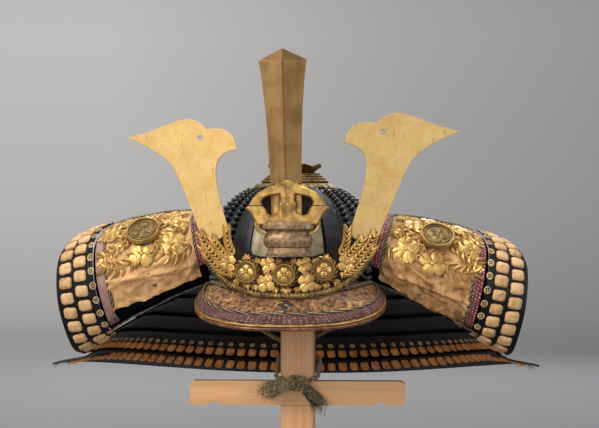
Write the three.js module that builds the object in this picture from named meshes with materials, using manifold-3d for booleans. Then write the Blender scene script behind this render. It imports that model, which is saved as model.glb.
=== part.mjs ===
// A samurai helmet (kabuto) resting on a plain wooden helmet stand.
// Millimetres, +Z up, the face looks along -Y, origin under the middle of the stand's base.
import * as THREE from 'three';
import { mergeVertices } from 'three/addons/utils/BufferGeometryUtils.js';
import { TessellateModifier } from 'three/addons/modifiers/TessellateModifier.js';
import Module from 'manifold-3d';

const wasm = await Module();
wasm.setup();

// ---------------------------------------------------------------- driving dimensions
const GAP = 0.4; // between pieces that touch

const STAND = {
  x: 3.5, baseWidth: 230, baseDepth: 190, baseHeight: 18, post: 37, headTop: 380.8, headHeight: 15,
  headTopRadius: 22, headRadius: 44, barLength: 242, barHeight: 27, barDepth: 20, barTop: 162.5,
  notchX: 94, notchRadius: 7.5, corner: 5,
};

const BOWL = { depthRatio: 1.143, wall: 2.2, plates: 28, bareSides: 2.6, segments: 32 };
// Outer half profile of the bowl, from its rim up to the hole in the crown.
const BOWL_PROFILE = [
  { r: 98, z: 264 }, { r: 98, z: 285 }, { r: 96, z: 305 }, { r: 92, z: 324 }, { r: 85.5, z: 341 },
  { r: 76, z: 355.5 }, { r: 64, z: 367 }, { r: 50, z: 376 }, { r: 34, z: 383 }, { r: 14, z: 387.5 },
];
// Rivets of one row: share of the profile from the rim to the crown, and the size of each stud.
const RIVETS = [
  { along: 0.16, radius: 3.5, height: 5.4 }, { along: 0.31, radius: 3.3, height: 5.2 },
  { along: 0.45, radius: 3, height: 4.8 }, { along: 0.58, radius: 2.6, height: 4.2 },
];
const FRONT_PLATE = { halfAngle: 24, lift: 0.5, thickness: 1.4, ridgeHeight: 2.6, ridges: 3 };

// Half of the visor: where it leaves the bowl (angle from the front), and where its rim runs.
const VISOR = [
  { bowlAngle: 0, rootZ: 269, rimX: 0, rimY: -164, rimZ: 232 },
  { bowlAngle: 17, rootZ: 269.5, rimX: 48, rimY: -156, rimZ: 233.5 },
  { bowlAngle: 31, rootZ: 271, rimX: 82, rimY: -134, rimZ: 239.5 },
  { bowlAngle: 43, rootZ: 273.5, rimX: 97.5, rimY: -110, rimZ: 248 },
  { bowlAngle: 52, rootZ: 275, rimX: 100.5, rimY: -88, rimZ: 258 },
  { bowlAngle: 58, rootZ: 276, rimX: 96, rimY: -70, rimZ: 268 },
];
const VISOR_THICKNESS = 3, VISOR_CROWN = 3, RIM_RADIUS = 2.6;
const VISOR_RIGHT = 1.028; // the right half is a little wider

// Neck guard: radius and height along its slope, at the sides and at the back of the helmet.
const GUARD_PROFILE = [
  { t: 0, sideR: 99.8, sideZ: 277, backR: 113.8, backZ: 271 },
  { t: 0.28, sideR: 141, sideZ: 259, backR: 153, backZ: 251 },
  { t: 0.54, sideR: 179, sideZ: 238, backR: 192, backZ: 223 },
  { t: 0.78, sideR: 212, sideZ: 215, backR: 227, backZ: 198 },
  { t: 1, sideR: 240, sideZ: 194, backR: 250, backZ: 164 },
  { t: 1.16, sideR: 276, sideZ: 186, backR: 256, backZ: 158 },
];
const GUARD = { wall: 2.5, foldAngleInner: 114, foldAngleOuter: 92.5, arcSteps: 26, curlSteps: 8 };
// The lames, from the bowl outwards. Each tucks under the one above it by its topOffset.
const LAMES = [
  { name: 'neck_guard_lame_1', top: 0, bottom: 0.3, topOffset: 0, bottomOffset: 0 },
  { name: 'neck_guard_lame_2', top: 0.27, bottom: 0.55, topOffset: -3.9, bottomOffset: 0 },
  { name: 'neck_guard_lame_3', top: 0.52, bottom: 0.79, topOffset: -3.9, bottomOffset: 0 },
  { name: 'neck_guard_lame_4', top: 0.715, bottom: 1, topOffset: -4.2, bottomOffset: 0, curls: true },
  { name: 'neck_guard_lame_5', top: 0.93, bottom: 1.16, topOffset: -6.4, bottomOffset: -4.5 },
];
// How a lame's front end turns back: offsets from the fold, at the bowl (near) and at the outer edge (far).
const CURL = [
  { near: { forward: 0, up: 0, out: 0 }, far: { forward: 0, up: 0, out: 0 } },
  { near: { forward: 27, up: 7, out: -4 }, far: { forward: 40, up: 10, out: 6 } },
  { near: { forward: 42, up: 32, out: -2 }, far: { forward: 62, up: 58, out: 17 } },
  { near: { forward: 32, up: 56, out: 3 }, far: { forward: 48, up: 102, out: 19 } },
  { near: { forward: 6, up: 69, out: 7 }, far: { forward: 18, up: 122, out: 11 } },
  { near: { forward: -26, up: 76, out: 10 }, far: { forward: -18, up: 129, out: -1 } },
];
const CURL_RISE = { left: 1, right: 0.93 }; // the right end is turned back a little lower
const BOARD = { inner: 0.005, outer: 0.72, start: 0.03, thickness: 3, edge: 0.06, leatherStart: 0.215 };
const ORNAMENT = { acrossT: 0.4, alongU: 0.63, thickness: 1.6, medallionRadius: 20.5, petal: 8.5 };

// Holder of the crests: half outline of its crescent, x from the middle, z up.
const HOLDER = {
  front: -130, thickness: 2.6, bend: 240, lean: 0.05, lipDepth: 16, lipRise: 8, lipHeight: 3.5,
  medallionRadius: 12.5, medallionX: 41, medallionZ: 286.5, centreMedallionZ: 283,
};
const HOLDER_LOWER = [[0, 265], [41, 269], [67, 281.5], [86, 303], [94.5, 320], [97, 332]];
const HOLDER_UPPER = [[64, 338], [59.5, 322], [47, 310], [28, 304.5], [0, 303.5]];
const HOLDER_NOTCH = [81, 321];

const HORN = { thickness: 1.6, turn: 17, lean: 3, footX: 80, footZ: 325 };
// The horns do not sit quite alike in the holder: how far each stands out and up.
const HORN_SEATS = [
  { label: 'left', side: -1, out: 0, up: 0 }, { label: 'right', side: 1, out: 6.5, up: 6.5 },
];
// Corners of a horn's outline from its foot: x towards the blade crest, z up.
const HORN_CORNERS = {
  rootOuter: [-5.5, -24], rootInner: [24, -24], neckInner: [16.1, 10], throat: [0.3, 70],
  innerPoint: [24.4, 95.1], innerLobe: [5.7, 117.4], notch: [-12.9, 117.2],
  outerLobe: [-35.9, 128.6], outerPoint: [-106.4, 109.1],
  armpit: [-51.5, 77.8], neckOuter: [-17, 5],
};
const HEART = { x: -19.2, z: 108, size: 3.4 };

const BLADE = { y: -136, thickness: 8.5, foot: 386.4, tangFoot: 346, tangThickness: 1.8, lean: 1.6 };
const BLADE_SECTIONS = [
  { z: 386.4, half: 16.8 }, { z: 437, half: 18.7 }, { z: 466, half: 20.4 },
  { z: 493, half: 22.9 }, { z: 514.5, half: 26 },
];
const BLADE_TIP = 527.5;
const HILT = { x: 2, front: -142, plate: 6.5, depthRatio: 0.46 };

const CORD = { diameter: 5, ringX: 86, ringY: -14, ringZ: 259 };

// ---------------------------------------------------------------- helpers
const vec = (x, y, z) => new THREE.Vector3(x, y, z);
const rad = THREE.MathUtils.degToRad;
const lerp = THREE.MathUtils.lerp;

// Reads a table by its first column, with straight lines between its rows.
function lookUp(table, key, at, column) {
  const last = table.length - 1;
  let i = 0;
  while (i < last - 1 && at > table[i + 1][key]) i += 1;
  const [a, b] = [table[i], table[i + 1]];
  return lerp(a[column], b[column], (at - a[key]) / (b[key] - a[key]));
}

function finish(positions, indices) {
  const geometry = new THREE.BufferGeometry();
  geometry.setAttribute('position', new THREE.Float32BufferAttribute(positions, 3));
  geometry.setIndex(indices);
  geometry.computeVertexNormals();
  return geometry;
}

// Evenly spaced numbers from a to b, in the given count of steps.
const spread = (a, b, steps) => Array.from({ length: steps + 1 }, (_, i) => lerp(a, b, i / steps));

// The numbers a and b with every station that lies between them.
const between = (a, b, stations) => [a, ...stations.filter((x) => x > a + 0.01 && x < b - 0.01), b];

// A closed wall on a surface point(u, v) with corners at every us and vs, from lo to hi along its normal.
// lo and hi are millimetres, or functions of u and v. With ring it closes on itself in u.
function wall(point, us, vs, lo, hi, { ring = false } = {}) {
  const e = 1e-3;
  const normal = (u, v) => {
    const mid = (x, list) => THREE.MathUtils.clamp(x, list[0] + e, list[list.length - 1] - e);
    const [a, b] = [ring ? u : mid(u, us), mid(v, vs)];
    const du = point(a + e, v).sub(point(a - e, v));
    const dv = point(u, b + e).sub(point(u, b - e));
    return du.cross(dv).normalize();
  };
  const columns = ring ? us.slice(0, -1) : us;
  const positions = [];
  for (const offset of [hi, lo]) {
    for (const u of columns) {
      for (const v of vs) {
        const distance = typeof offset === 'function' ? offset(u, v) : offset;
        positions.push(...point(u, v).addScaledVector(normal(u, v), distance).toArray());
      }
    }
  }
  const [nu, nv] = [us.length - 1, vs.length - 1];
  const layer = columns.length * vs.length;
  const id = (i, j, side) => side * layer + (i % columns.length) * vs.length + j;
  const indices = [];
  const quad = (a, b, c, d) => indices.push(a, b, c, a, c, d);
  for (let i = 0; i < nu; i += 1) {
    for (let j = 0; j < nv; j += 1) {
      quad(id(i, j, 0), id(i + 1, j, 0), id(i + 1, j + 1, 0), id(i, j + 1, 0));
      quad(id(i, j, 1), id(i, j + 1, 1), id(i + 1, j + 1, 1), id(i + 1, j, 1));
    }
    quad(id(i, 0, 1), id(i + 1, 0, 1), id(i + 1, 0, 0), id(i, 0, 0));
    quad(id(i, nv, 0), id(i + 1, nv, 0), id(i + 1, nv, 1), id(i, nv, 1));
  }
  for (let j = 0; j < nv && !ring; j += 1) {
    quad(id(0, j, 0), id(0, j + 1, 0), id(0, j + 1, 1), id(0, j, 1));
    quad(id(nu, j, 1), id(nu, j + 1, 1), id(nu, j + 1, 0), id(nu, j, 0));
  }
  return finish(positions, indices);
}

// A closed solid through rings of points, each ring with the same count, with flat ends.
function loft(rings) {
  const count = rings[0].length;
  const positions = rings.flat().flatMap((p) => p.toArray());
  const indices = [];
  for (let i = 0; i < rings.length - 1; i += 1) {
    for (let j = 0; j < count; j += 1) {
      const [a, b] = [i * count + j, i * count + ((j + 1) % count)];
      indices.push(a, b, b + count, a, b + count, a + count);
    }
  }
  const end = (rings.length - 1) * count;
  for (let j = 1; j < count - 1; j += 1) indices.push(0, j + 1, j, end, end + j, end + j + 1);
  return finish(positions, indices);
}

// three.js geometry to a manifold-3d solid and back, for joins and cuts.
function solid(geometry) {
  const bare = geometry.clone();
  for (const name of Object.keys(bare.attributes)) {
    if (name !== 'position') bare.deleteAttribute(name);
  }
  const merged = mergeVertices(bare, 1e-3);
  const index = merged.index.array;
  const triVerts = [];
  for (let i = 0; i < index.length; i += 3) {
    const [a, b, c] = [index[i], index[i + 1], index[i + 2]];
    if (a !== b && b !== c && c !== a) triVerts.push(a, b, c);
  }
  return new wasm.Manifold(new wasm.Mesh({
    numProp: 3, vertProperties: merged.attributes.position.array, triVerts: new Uint32Array(triVerts),
  }));
}
function fromSolid(made) {
  const mesh = made.getMesh();
  return finish(Array.from(mesh.vertProperties), Array.from(mesh.triVerts));
}
const join = (geometries) => geometries.map(solid).reduce((a, b) => a.add(b));

function extrude(shape, depth, curveSegments = 6) {
  return new THREE.ExtrudeGeometry(shape, { depth, bevelEnabled: false, curveSegments });
}

// Moves every vertex of a flat piece, after its long edges are split, so that it follows a curved surface.
function drape(geometry, map, { flip = false, longest = 14 } = {}) {
  const bare = geometry.index ? geometry.toNonIndexed() : geometry.clone();
  for (const name of Object.keys(bare.attributes)) {
    if (name !== 'position') bare.deleteAttribute(name);
  }
  const split = mergeVertices(new TessellateModifier(longest, 12).modify(bare), 1e-3);
  const position = split.attributes.position;
  for (let i = 0; i < position.count; i += 1) {
    const p = map(position.getX(i), position.getY(i), position.getZ(i));
    position.setXYZ(i, p.x, p.y, p.z);
  }
  if (flip) {
    const index = split.index.array;
    for (let i = 0; i < index.length; i += 3) [index[i + 1], index[i + 2]] = [index[i + 2], index[i + 1]];
  }
  split.computeVertexNormals();
  return split;
}

const helmet = new THREE.Group();
const materials = {
  gilt: new THREE.MeshStandardMaterial({ color: 0xd9a84e, roughness: 0.36, metalness: 1 }),
  gilt_dark: new THREE.MeshStandardMaterial({ color: 0x9c7740, roughness: 0.45, metalness: 1 }),
  silvered: new THREE.MeshStandardMaterial({ color: 0x9a9072, roughness: 0.5, metalness: 0.9 }),
  black_iron: new THREE.MeshStandardMaterial({ color: 0x14151a, roughness: 0.3, metalness: 0.6 }),
  black_lacquer: new THREE.MeshStandardMaterial({ color: 0x0f1013, roughness: 0.35, metalness: 0 }),
  printed_leather: new THREE.MeshStandardMaterial({ color: 0xb98f5e, roughness: 0.8, metalness: 0 }),
  brown_leather: new THREE.MeshStandardMaterial({ color: 0x8a6238, roughness: 0.75, metalness: 0 }),
  red_leather: new THREE.MeshStandardMaterial({ color: 0x8a2f3c, roughness: 0.7, metalness: 0 }),
  silk_cord: new THREE.MeshStandardMaterial({ color: 0x4a3f28, roughness: 0.9, metalness: 0 }),
  wood: new THREE.MeshStandardMaterial({ color: 0xc08a58, roughness: 0.6, metalness: 0 }),
};
function add(name, geometry, material) {
  const mesh = new THREE.Mesh(geometry, materials[material]);
  mesh.name = name;
  helmet.add(mesh);
  return mesh;
}

// ---------------------------------------------------------------- stand
function roundedBox(width, height, depth, corner) {
  const shape = new THREE.Shape();
  const [w, h] = [width / 2, height / 2];
  shape.moveTo(-w + corner, -h).lineTo(w - corner, -h);
  shape.absarc(w - corner, -h + corner, corner, -Math.PI / 2, 0);
  shape.lineTo(w, h - corner).absarc(w - corner, h - corner, corner, 0, Math.PI / 2);
  shape.lineTo(-w + corner, h).absarc(-w + corner, h - corner, corner, Math.PI / 2, Math.PI);
  shape.lineTo(-w, -h + corner).absarc(-w + corner, -h + corner, corner, Math.PI, Math.PI * 1.5);
  return extrude(shape, depth, 2);
}

function makeStand() {
  const half = STAND.post / 2;
  const base = roundedBox(STAND.baseWidth, STAND.baseDepth, STAND.baseHeight, 12);
  add('stand_base', base, 'wood');

  const postFoot = STAND.baseHeight + GAP;
  const postTop = STAND.headTop - STAND.headHeight - GAP;
  const post = roundedBox(STAND.post, STAND.post, postTop - postFoot, 3);
  post.translate(STAND.x, 0, postFoot);
  const notch = new THREE.BoxGeometry(STAND.post + 20, STAND.barDepth + GAP + 10, STAND.barHeight + 2 * GAP);
  notch.translate(STAND.x, -half + (STAND.barDepth + GAP) / 2 - 5, STAND.barTop - STAND.barHeight / 2);
  add('stand_post', fromSolid(solid(post).subtract(solid(notch))), 'wood');

  const bar = roundedBox(STAND.barLength, STAND.barHeight, STAND.barDepth, STAND.corner);
  bar.rotateX(Math.PI / 2);
  bar.translate(STAND.x, -half + STAND.barDepth, STAND.barTop - STAND.barHeight / 2);
  const cuts = [-1, 1].map((side) => {
    const scoop = new THREE.CylinderGeometry(STAND.notchRadius, STAND.notchRadius, STAND.barDepth + 10, 12);
    const middle = STAND.barDepth / 2 - half;
    scoop.translate(STAND.x + side * STAND.notchX, middle, STAND.barTop - STAND.barHeight - STAND.notchRadius + 4);
    return solid(scoop);
  });
  add('stand_crossbar', fromSolid(cuts.reduce((a, b) => a.subtract(b), solid(bar))), 'wood');

  const head = new THREE.CylinderGeometry(STAND.headTopRadius, STAND.headRadius, STAND.headHeight, 24);
  head.rotateX(Math.PI / 2);
  head.translate(STAND.x, 0, STAND.headTop - STAND.headHeight / 2);
  add('stand_head', head, 'wood');
}

// ---------------------------------------------------------------- bowl
const bowlCurve = new THREE.CatmullRomCurve3(BOWL_PROFILE.map(({ r, z }) => vec(r, 0, z)));

// A point of the bowl's outside: share of the profile from the rim, and the angle from the front.
function bowlPoint(along, degrees, lift = 0) {
  const on = bowlCurve.getPointAt(along);
  const slope = bowlCurve.getTangentAt(along);
  const r = on.x + slope.z * lift;
  const z = on.z - slope.x * lift;
  const a = rad(degrees);
  return vec(r * Math.sin(a), -r * BOWL.depthRatio * Math.cos(a), z);
}

function makeBowl() {
  const steps = 9;
  const outer = Array.from({ length: steps + 1 }, (_, i) => bowlCurve.getPointAt(i / steps));
  const inner = BOWL_PROFILE.filter((row, i) => i % 2 === 0 || i > 7).map(({ r, z }, i) => (
    new THREE.Vector2(r - BOWL.wall, z - (i > 0 ? BOWL.wall : 0))));
  inner[inner.length - 1].x += BOWL.wall;
  const profile = [...outer.map((p) => new THREE.Vector2(p.x, p.z)), ...inner.reverse()];
  profile.push(profile[0].clone());
  const shell = new THREE.LatheGeometry(profile, BOWL.segments);
  shell.rotateX(Math.PI / 2);
  shell.scale(1, BOWL.depthRatio, 1);
  let made = solid(shell);
  if (made.volume() < 0) {
    shell.scale(-1, 1, 1);
    made = solid(shell);
  }
  const studs = [];
  for (let plate = 0; plate < BOWL.plates; plate += 1) {
    const angle = ((plate + 0.5) * 360) / BOWL.plates;
    if (Math.min(angle, 360 - angle) < (BOWL.bareSides * 360) / BOWL.plates) continue;
    for (const { along, radius, height } of RIVETS) {
      const foot = bowlPoint(along, angle, -1);
      const out = bowlPoint(along, angle, 4).sub(foot).normalize();
      const stud = new THREE.ConeGeometry(radius, height + 1, 4, 1);
      stud.translate(0, (height + 1) / 2, 0);
      stud.applyQuaternion(new THREE.Quaternion().setFromUnitVectors(vec(0, 1, 0), out));
      stud.translate(foot.x, foot.y, foot.z);
      studs.push(solid(stud));
    }
  }
  add('helmet_bowl', fromSolid(studs.reduce((a, b) => a.add(b), made)), 'black_iron');
}

function makeFrontPlate() {
  const { halfAngle, lift, thickness, ridgeHeight, ridges } = FRONT_PLATE;
  const half = (v) => lerp(halfAngle, halfAngle * 0.86, v);
  const point = (u, v) => bowlPoint(lerp(0.13, 0.83, v), lerp(-half(v), half(v), u), lift);
  const top = (u, v) => {
    const place = Math.abs(((u * ridges) % 1) - 0.5);
    const ridge = v < 0.92 && u > 0.1 && u < 0.9 ? Math.max(0, 1 - place * 4) : 0;
    return thickness + ridgeHeight * ridge * (1 - v * 0.5);
  };
  add('bowl_front_plate', wall(point, spread(0, 1, 12), spread(0, 1, 8), 0.4, top), 'silvered');
}

function makeCrownMount() {
  const tiers = [
    [15, 389.4], [15, 396], [22, 396], [24, 394.5], [26.5, 394], [27, 391.8], [31, 391.2], [32, 388.6],
    [36.5, 387.8], [37.5, 384.8], [30, 387.2], [22, 388.6], [15, 389.4],
  ].map(([r, z]) => new THREE.Vector2(r, z)).reverse();
  const base = new THREE.LatheGeometry(tiers, 16);
  base.rotateX(Math.PI / 2);
  if (solid(base).volume() < 0) base.scale(-1, 1, 1);
  add('crown_mount', base, 'gilt_dark');

  const flower = (u, v) => {
    const a = u * 2 * Math.PI;
    const lobe = v * 1.6 * Math.cos(6 * a);
    const r = 20.5 + 9.5 * v ** 1.6;
    return vec(r * Math.cos(a), r * Math.sin(a), 396 + GAP + 0.4 + 9 * v + lobe);
  };
  const petals = wall(flower, spread(0, 1, 24), spread(0, 1, 2), -0.7, 0.7, { ring: true });
  add('crown_flower', petals, 'gilt_dark');
}

// ---------------------------------------------------------------- visor
const visorRim = new THREE.CatmullRomCurve3([
  ...VISOR.slice(1).reverse().map((row) => vec(-row.rimX, row.rimY, row.rimZ)),
  ...VISOR.map((row) => vec(row.rimX, row.rimY, row.rimZ)),
]);
const visorRoot = new THREE.CatmullRomCurve3([...VISOR.slice(1).reverse(), ...VISOR].map((row, i) => {
  const a = rad(i < VISOR.length - 1 ? -row.bowlAngle : row.bowlAngle);
  const r = BOWL_PROFILE[0].r + 2.4;
  return vec(r * Math.sin(a), -r * BOWL.depthRatio * Math.cos(a), row.rootZ);
}));

// The visor's upper face: u from its left end to its right end, v from the bowl to the rim.
function visorPoint(u, v) {
  const p = visorRoot.getPoint(u).lerp(visorRim.getPoint(u), v);
  p.z += VISOR_CROWN * 4 * v * (1 - v);
  if (p.x > 0) p.x *= VISOR_RIGHT;
  return p;
}

function makeVisor() {
  add('visor', wall(visorPoint, spread(0, 1, 20), spread(0, 1, 3), -VISOR_THICKNESS, 0), 'brown_leather');
  const rimPoints = Array.from({ length: 27 }, (_, i) => {
    const u = i / 26;
    const outward = visorPoint(u, 1).sub(visorPoint(u, 0.9)).normalize();
    return visorPoint(u, 1).addScaledVector(outward, RIM_RADIUS + GAP).add(vec(0, 0, -VISOR_THICKNESS / 2));
  });
  const section = new THREE.Shape().absellipse(0, 0, RIM_RADIUS, RIM_RADIUS, 0, 2 * Math.PI);
  const rim = new THREE.ExtrudeGeometry(section, {
    steps: 22, curveSegments: 3, bevelEnabled: false, extrudePath: new THREE.CatmullRomCurve3(rimPoints),
  });
  add('visor_rim', rim, 'gilt');
}

// ---------------------------------------------------------------- neck guard
// A point of the guard: s from -1 to 1 round the back, on to 2 along a turned-back end,
// and t from the bowl outwards.
// The turned-back ends run straight between their stations, so that pieces laid on them fit.
const curlStations = spread(0, 1, GUARD.curlSteps);
const curlOffsets = Object.fromEntries(['near', 'far'].map((edge) => {
  const curve = new THREE.CatmullRomCurve3(
    CURL.map((row) => vec(row[edge].out, -row[edge].forward, row[edge].up)));
  return [edge, { points: curve.getSpacedPoints(GUARD.curlSteps), length: curve.getLength() }];
}));

function arcPoint(s, t) {
  const angle = s * rad(lerp(GUARD.foldAngleInner, GUARD.foldAngleOuter, Math.min(t, 1)));
  const sideways = Math.sin(angle) ** 2;
  const r = lerp(lookUp(GUARD_PROFILE, 't', t, 'backR'), lookUp(GUARD_PROFILE, 't', t, 'sideR'), sideways);
  const z = lerp(lookUp(GUARD_PROFILE, 't', t, 'backZ'), lookUp(GUARD_PROFILE, 't', t, 'sideZ'), sideways);
  return vec(r * Math.sin(angle), r * Math.cos(angle), z);
}
function curlOffset(edge, u) {
  const step = Math.min(Math.floor(u * GUARD.curlSteps), GUARD.curlSteps - 1);
  const { points } = curlOffsets[edge];
  return points[step].clone().lerp(points[step + 1], u * GUARD.curlSteps - step);
}
function guardPoint(s, t) {
  const side = Math.sign(s) || 1;
  const u = Math.abs(s) - 1;
  if (u <= 0) return arcPoint(s, t);
  const offset = curlOffset('near', u).lerp(curlOffset('far', u), t);
  const rise = side < 0 ? CURL_RISE.left : CURL_RISE.right;
  return arcPoint(side, t).add(vec(side * offset.x, offset.y, offset.z * rise));
}

function makeLame({ name, top, bottom, topOffset, bottomOffset, curls = false }) {
  const arc = spread(-1, 1, GUARD.arcSteps);
  const end = curls ? curlStations.slice(1).map((u) => 1 + u) : [];
  const stations = [...end.map((s) => -s).reverse(), ...arc, ...end];
  const high = (s, t) => lerp(topOffset, bottomOffset, (t - top) / (bottom - top));
  const low = (s, t) => high(s, t) - GUARD.wall;
  const across = between(top, bottom, GUARD_PROFILE.map((row) => row.t));
  add(name, wall(guardPoint, stations, across, low, high), 'black_lacquer');
}

// A slab on a turned-back end, from near to far in t and from start to end in u, raised towards the viewer.
function endSlab(side, near, far, start, end, nearFace, farFace) {
  const along = between(start, end, curlStations).map((u) => side * (1 + u));
  if (side < 0) along.reverse();
  const across = between(near, far, GUARD_PROFILE.map((row) => row.t));
  return wall(guardPoint, along, across, -farFace, -nearFace);
}

// Flat millimetres round the medallion (across from the bowl, along the curl, height) onto a turned-back end.
function onTurnback(side) {
  const width = arcPoint(1, 1).distanceTo(arcPoint(1, 0));
  return (across, along, height) => {
    const t = ORNAMENT.acrossT + across / width;
    const u = ORNAMENT.alongU + along / lerp(curlOffsets.near.length, curlOffsets.far.length, t);
    const e = 1e-3;
    const p = guardPoint(side * (1 + u), t);
    const du = guardPoint(side * (1 + u + e), t).sub(guardPoint(side * (1 + u - e), t));
    const dt = guardPoint(side * (1 + u), t + e).sub(guardPoint(side * (1 + u), t - e));
    const outward = dt.cross(du).normalize().multiplyScalar(side);
    return p.addScaledVector(outward, height);
  };
}

// A flower of four round petals, as a flat outline about x, y.
function flowerShape(x, y, size, turn = 0) {
  const points = Array.from({ length: 12 }, (_, i) => {
    const a = (i / 12) * 2 * Math.PI;
    const r = size * (i % 3 === 0 ? 0.62 : 1);
    return new THREE.Vector2(x + r * Math.cos(a + turn), y + r * Math.sin(a + turn));
  });
  return new THREE.Shape(points);
}

// One leaf finger: a slim four-cornered blade from its foot, its tip bowed to one side, as a flat outline.
function leafShape(x, y, length, direction, curl, width = 3.4) {
  const along = new THREE.Vector2(Math.cos(direction), Math.sin(direction));
  const aside = new THREE.Vector2(-along.y, along.x);
  const at = (share, off) => new THREE.Vector2(
    x + along.x * length * share + aside.x * off, y + along.y * length * share + aside.y * off);
  const bow = curl * length * 0.16;
  return new THREE.Shape([
    at(-0.1, 0), at(0.45, bow - width / 2), at(1, bow * 1.8), at(0.45, bow + width / 2),
  ]);
}

// A spray as one flat outline: a bowed stem with pairs of leaf fingers.
function sprayShape({ across, along, length, direction, bow, pairs, leaf }) {
  const at = (share, off) => {
    const a = direction + bow * share;
    return new THREE.Vector2(
      across + Math.cos(a) * length * share - Math.sin(a) * off,
      along + Math.sin(a) * length * share + Math.cos(a) * off);
  };
  const points = [];
  for (const hand of [1, -1]) {
    const half = [at(-0.05, hand * 1.4)];
    for (let i = 1; i <= pairs; i += 1) {
      const share = (i - 0.4) / (pairs + 0.4);
      const forward = (leaf * 0.55) / length;
      half.push(at(share - 1.8 / length, hand * 1.2), at(share + forward, hand * leaf * 0.75));
      half.push(at(share + 1.8 / length, hand * 1.2));
    }
    if (hand > 0) points.push(...half, at(1.12, 0));
    else points.push(...half.reverse());
  }
  return new THREE.Shape(points);
}

// Flat places on a turned-back end, in millimetres from its medallion: away from the bowl,
// and along the curl.
const TURNBACK_FLOWERS = [
  { across: -1, along: -34 }, { across: -36, along: -8 },
  { across: 33, along: -16 }, { across: -8, along: 32 },
];
const TURNBACK_SPRAYS = [
  { across: 8, along: -32, length: 38, direction: -0.15, bow: 0.5, pairs: 2, leaf: 13 },
  { across: -12, along: -36, length: 38, direction: 3.2, bow: -0.5, pairs: 2, leaf: 13 },
  { across: -14, along: 6, length: 34, direction: 2.5, bow: 0.4, pairs: 2, leaf: 12 },
  { across: 14, along: 4, length: 38, direction: 0.35, bow: 0.4, pairs: 2, leaf: 13 },
  { across: 2, along: 26, length: 40, direction: 0.3, bow: -0.2, pairs: 2, leaf: 12 },
  { across: -14, along: 28, length: 28, direction: 2.95, bow: 0.2, pairs: 2, leaf: 10 },
];

function makeTurnbacks() {
  const { medallionRadius, thickness: leafThickness } = ORNAMENT;
  const flat = [new THREE.CylinderGeometry(medallionRadius - 4, medallionRadius - 4, leafThickness, 16)];
  flat[0].rotateX(Math.PI / 2);
  flat[0].translate(0, 0, leafThickness / 2);
  for (const { across, along } of TURNBACK_FLOWERS) {
    flat.push(extrude(flowerShape(across, along, ORNAMENT.petal * 1.25, 0.5), leafThickness + 0.9));
    const reach = Math.hypot(across, along);
    const stem = leafShape(across * 0.3, along * 0.3, reach * 0.7, Math.atan2(along, across), 0);
    flat.push(extrude(stem, leafThickness));
  }
  for (const spray of TURNBACK_SPRAYS) {
    flat.push(extrude(sprayShape(spray), leafThickness));
    const reach = Math.hypot(spray.across, spray.along);
    const direction = Math.atan2(spray.along, spray.across);
    flat.push(extrude(leafShape(0, 0, reach + 3, direction, 0), leafThickness));
  }
  const openwork = fromSolid(join(flat));
  const medallion = new THREE.CylinderGeometry(ORNAMENT.medallionRadius - 3, ORNAMENT.medallionRadius, 3, 24);
  medallion.rotateX(Math.PI / 2);
  medallion.translate(0, 0, 1.5);

  for (const [label, side] of [['left', -1], ['right', 1]]) {
    const { inner, outer, start, thickness, edge, leatherStart } = BOARD;
    const half = thickness / 2;
    add(`turnback_board_${label}`, endSlab(side, inner, outer, start, 1, -half, half), 'black_lacquer');
    const skin = half + GAP;
    const leather = endSlab(side, inner + edge, outer - edge, leatherStart, 1 - edge / 2, skin, skin + 1.2);
    add(`turnback_leather_${label}`, leather, 'printed_leather');
    const strips = [
      endSlab(side, inner, inner + edge * 0.93, leatherStart + 0.06, 1, skin, skin + 1.6),
      endSlab(side, outer - edge * 0.93, outer, leatherStart - 0.03, 1, skin, skin + 1.6),
      endSlab(side, inner, outer, 1 - edge / 2 + 0.005, 1, skin, skin + 1.6),
    ];
    add(`turnback_edging_${label}`, fromSolid(join(strips)), 'red_leather');
    const map = onTurnback(side);
    const lift = skin + 1.2 + 1.6;
    add(`turnback_openwork_${label}`,
      drape(openwork, (x, y, z) => map(x, y, z + lift), { flip: side < 0, longest: 34 }), 'gilt');
    const discLift = lift + ORNAMENT.thickness + 1.6;
    const centre = map(0, 0, discLift);
    const normal = map(0, 0, discLift + 1).sub(centre);
    const disc = medallion.clone();
    disc.applyQuaternion(new THREE.Quaternion().setFromUnitVectors(vec(0, 0, 1), normal));
    disc.translate(centre.x, centre.y, centre.z);
    add(`turnback_medallion_${label}`, disc, 'gilt_dark');
  }
}

// ---------------------------------------------------------------- crest holder
function holderMap(x, z, depth) {
  return vec(x, HOLDER.front + (x * x) / (2 * HOLDER.bend) + (z - 265) * HOLDER.lean + depth, z);
}

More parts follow.
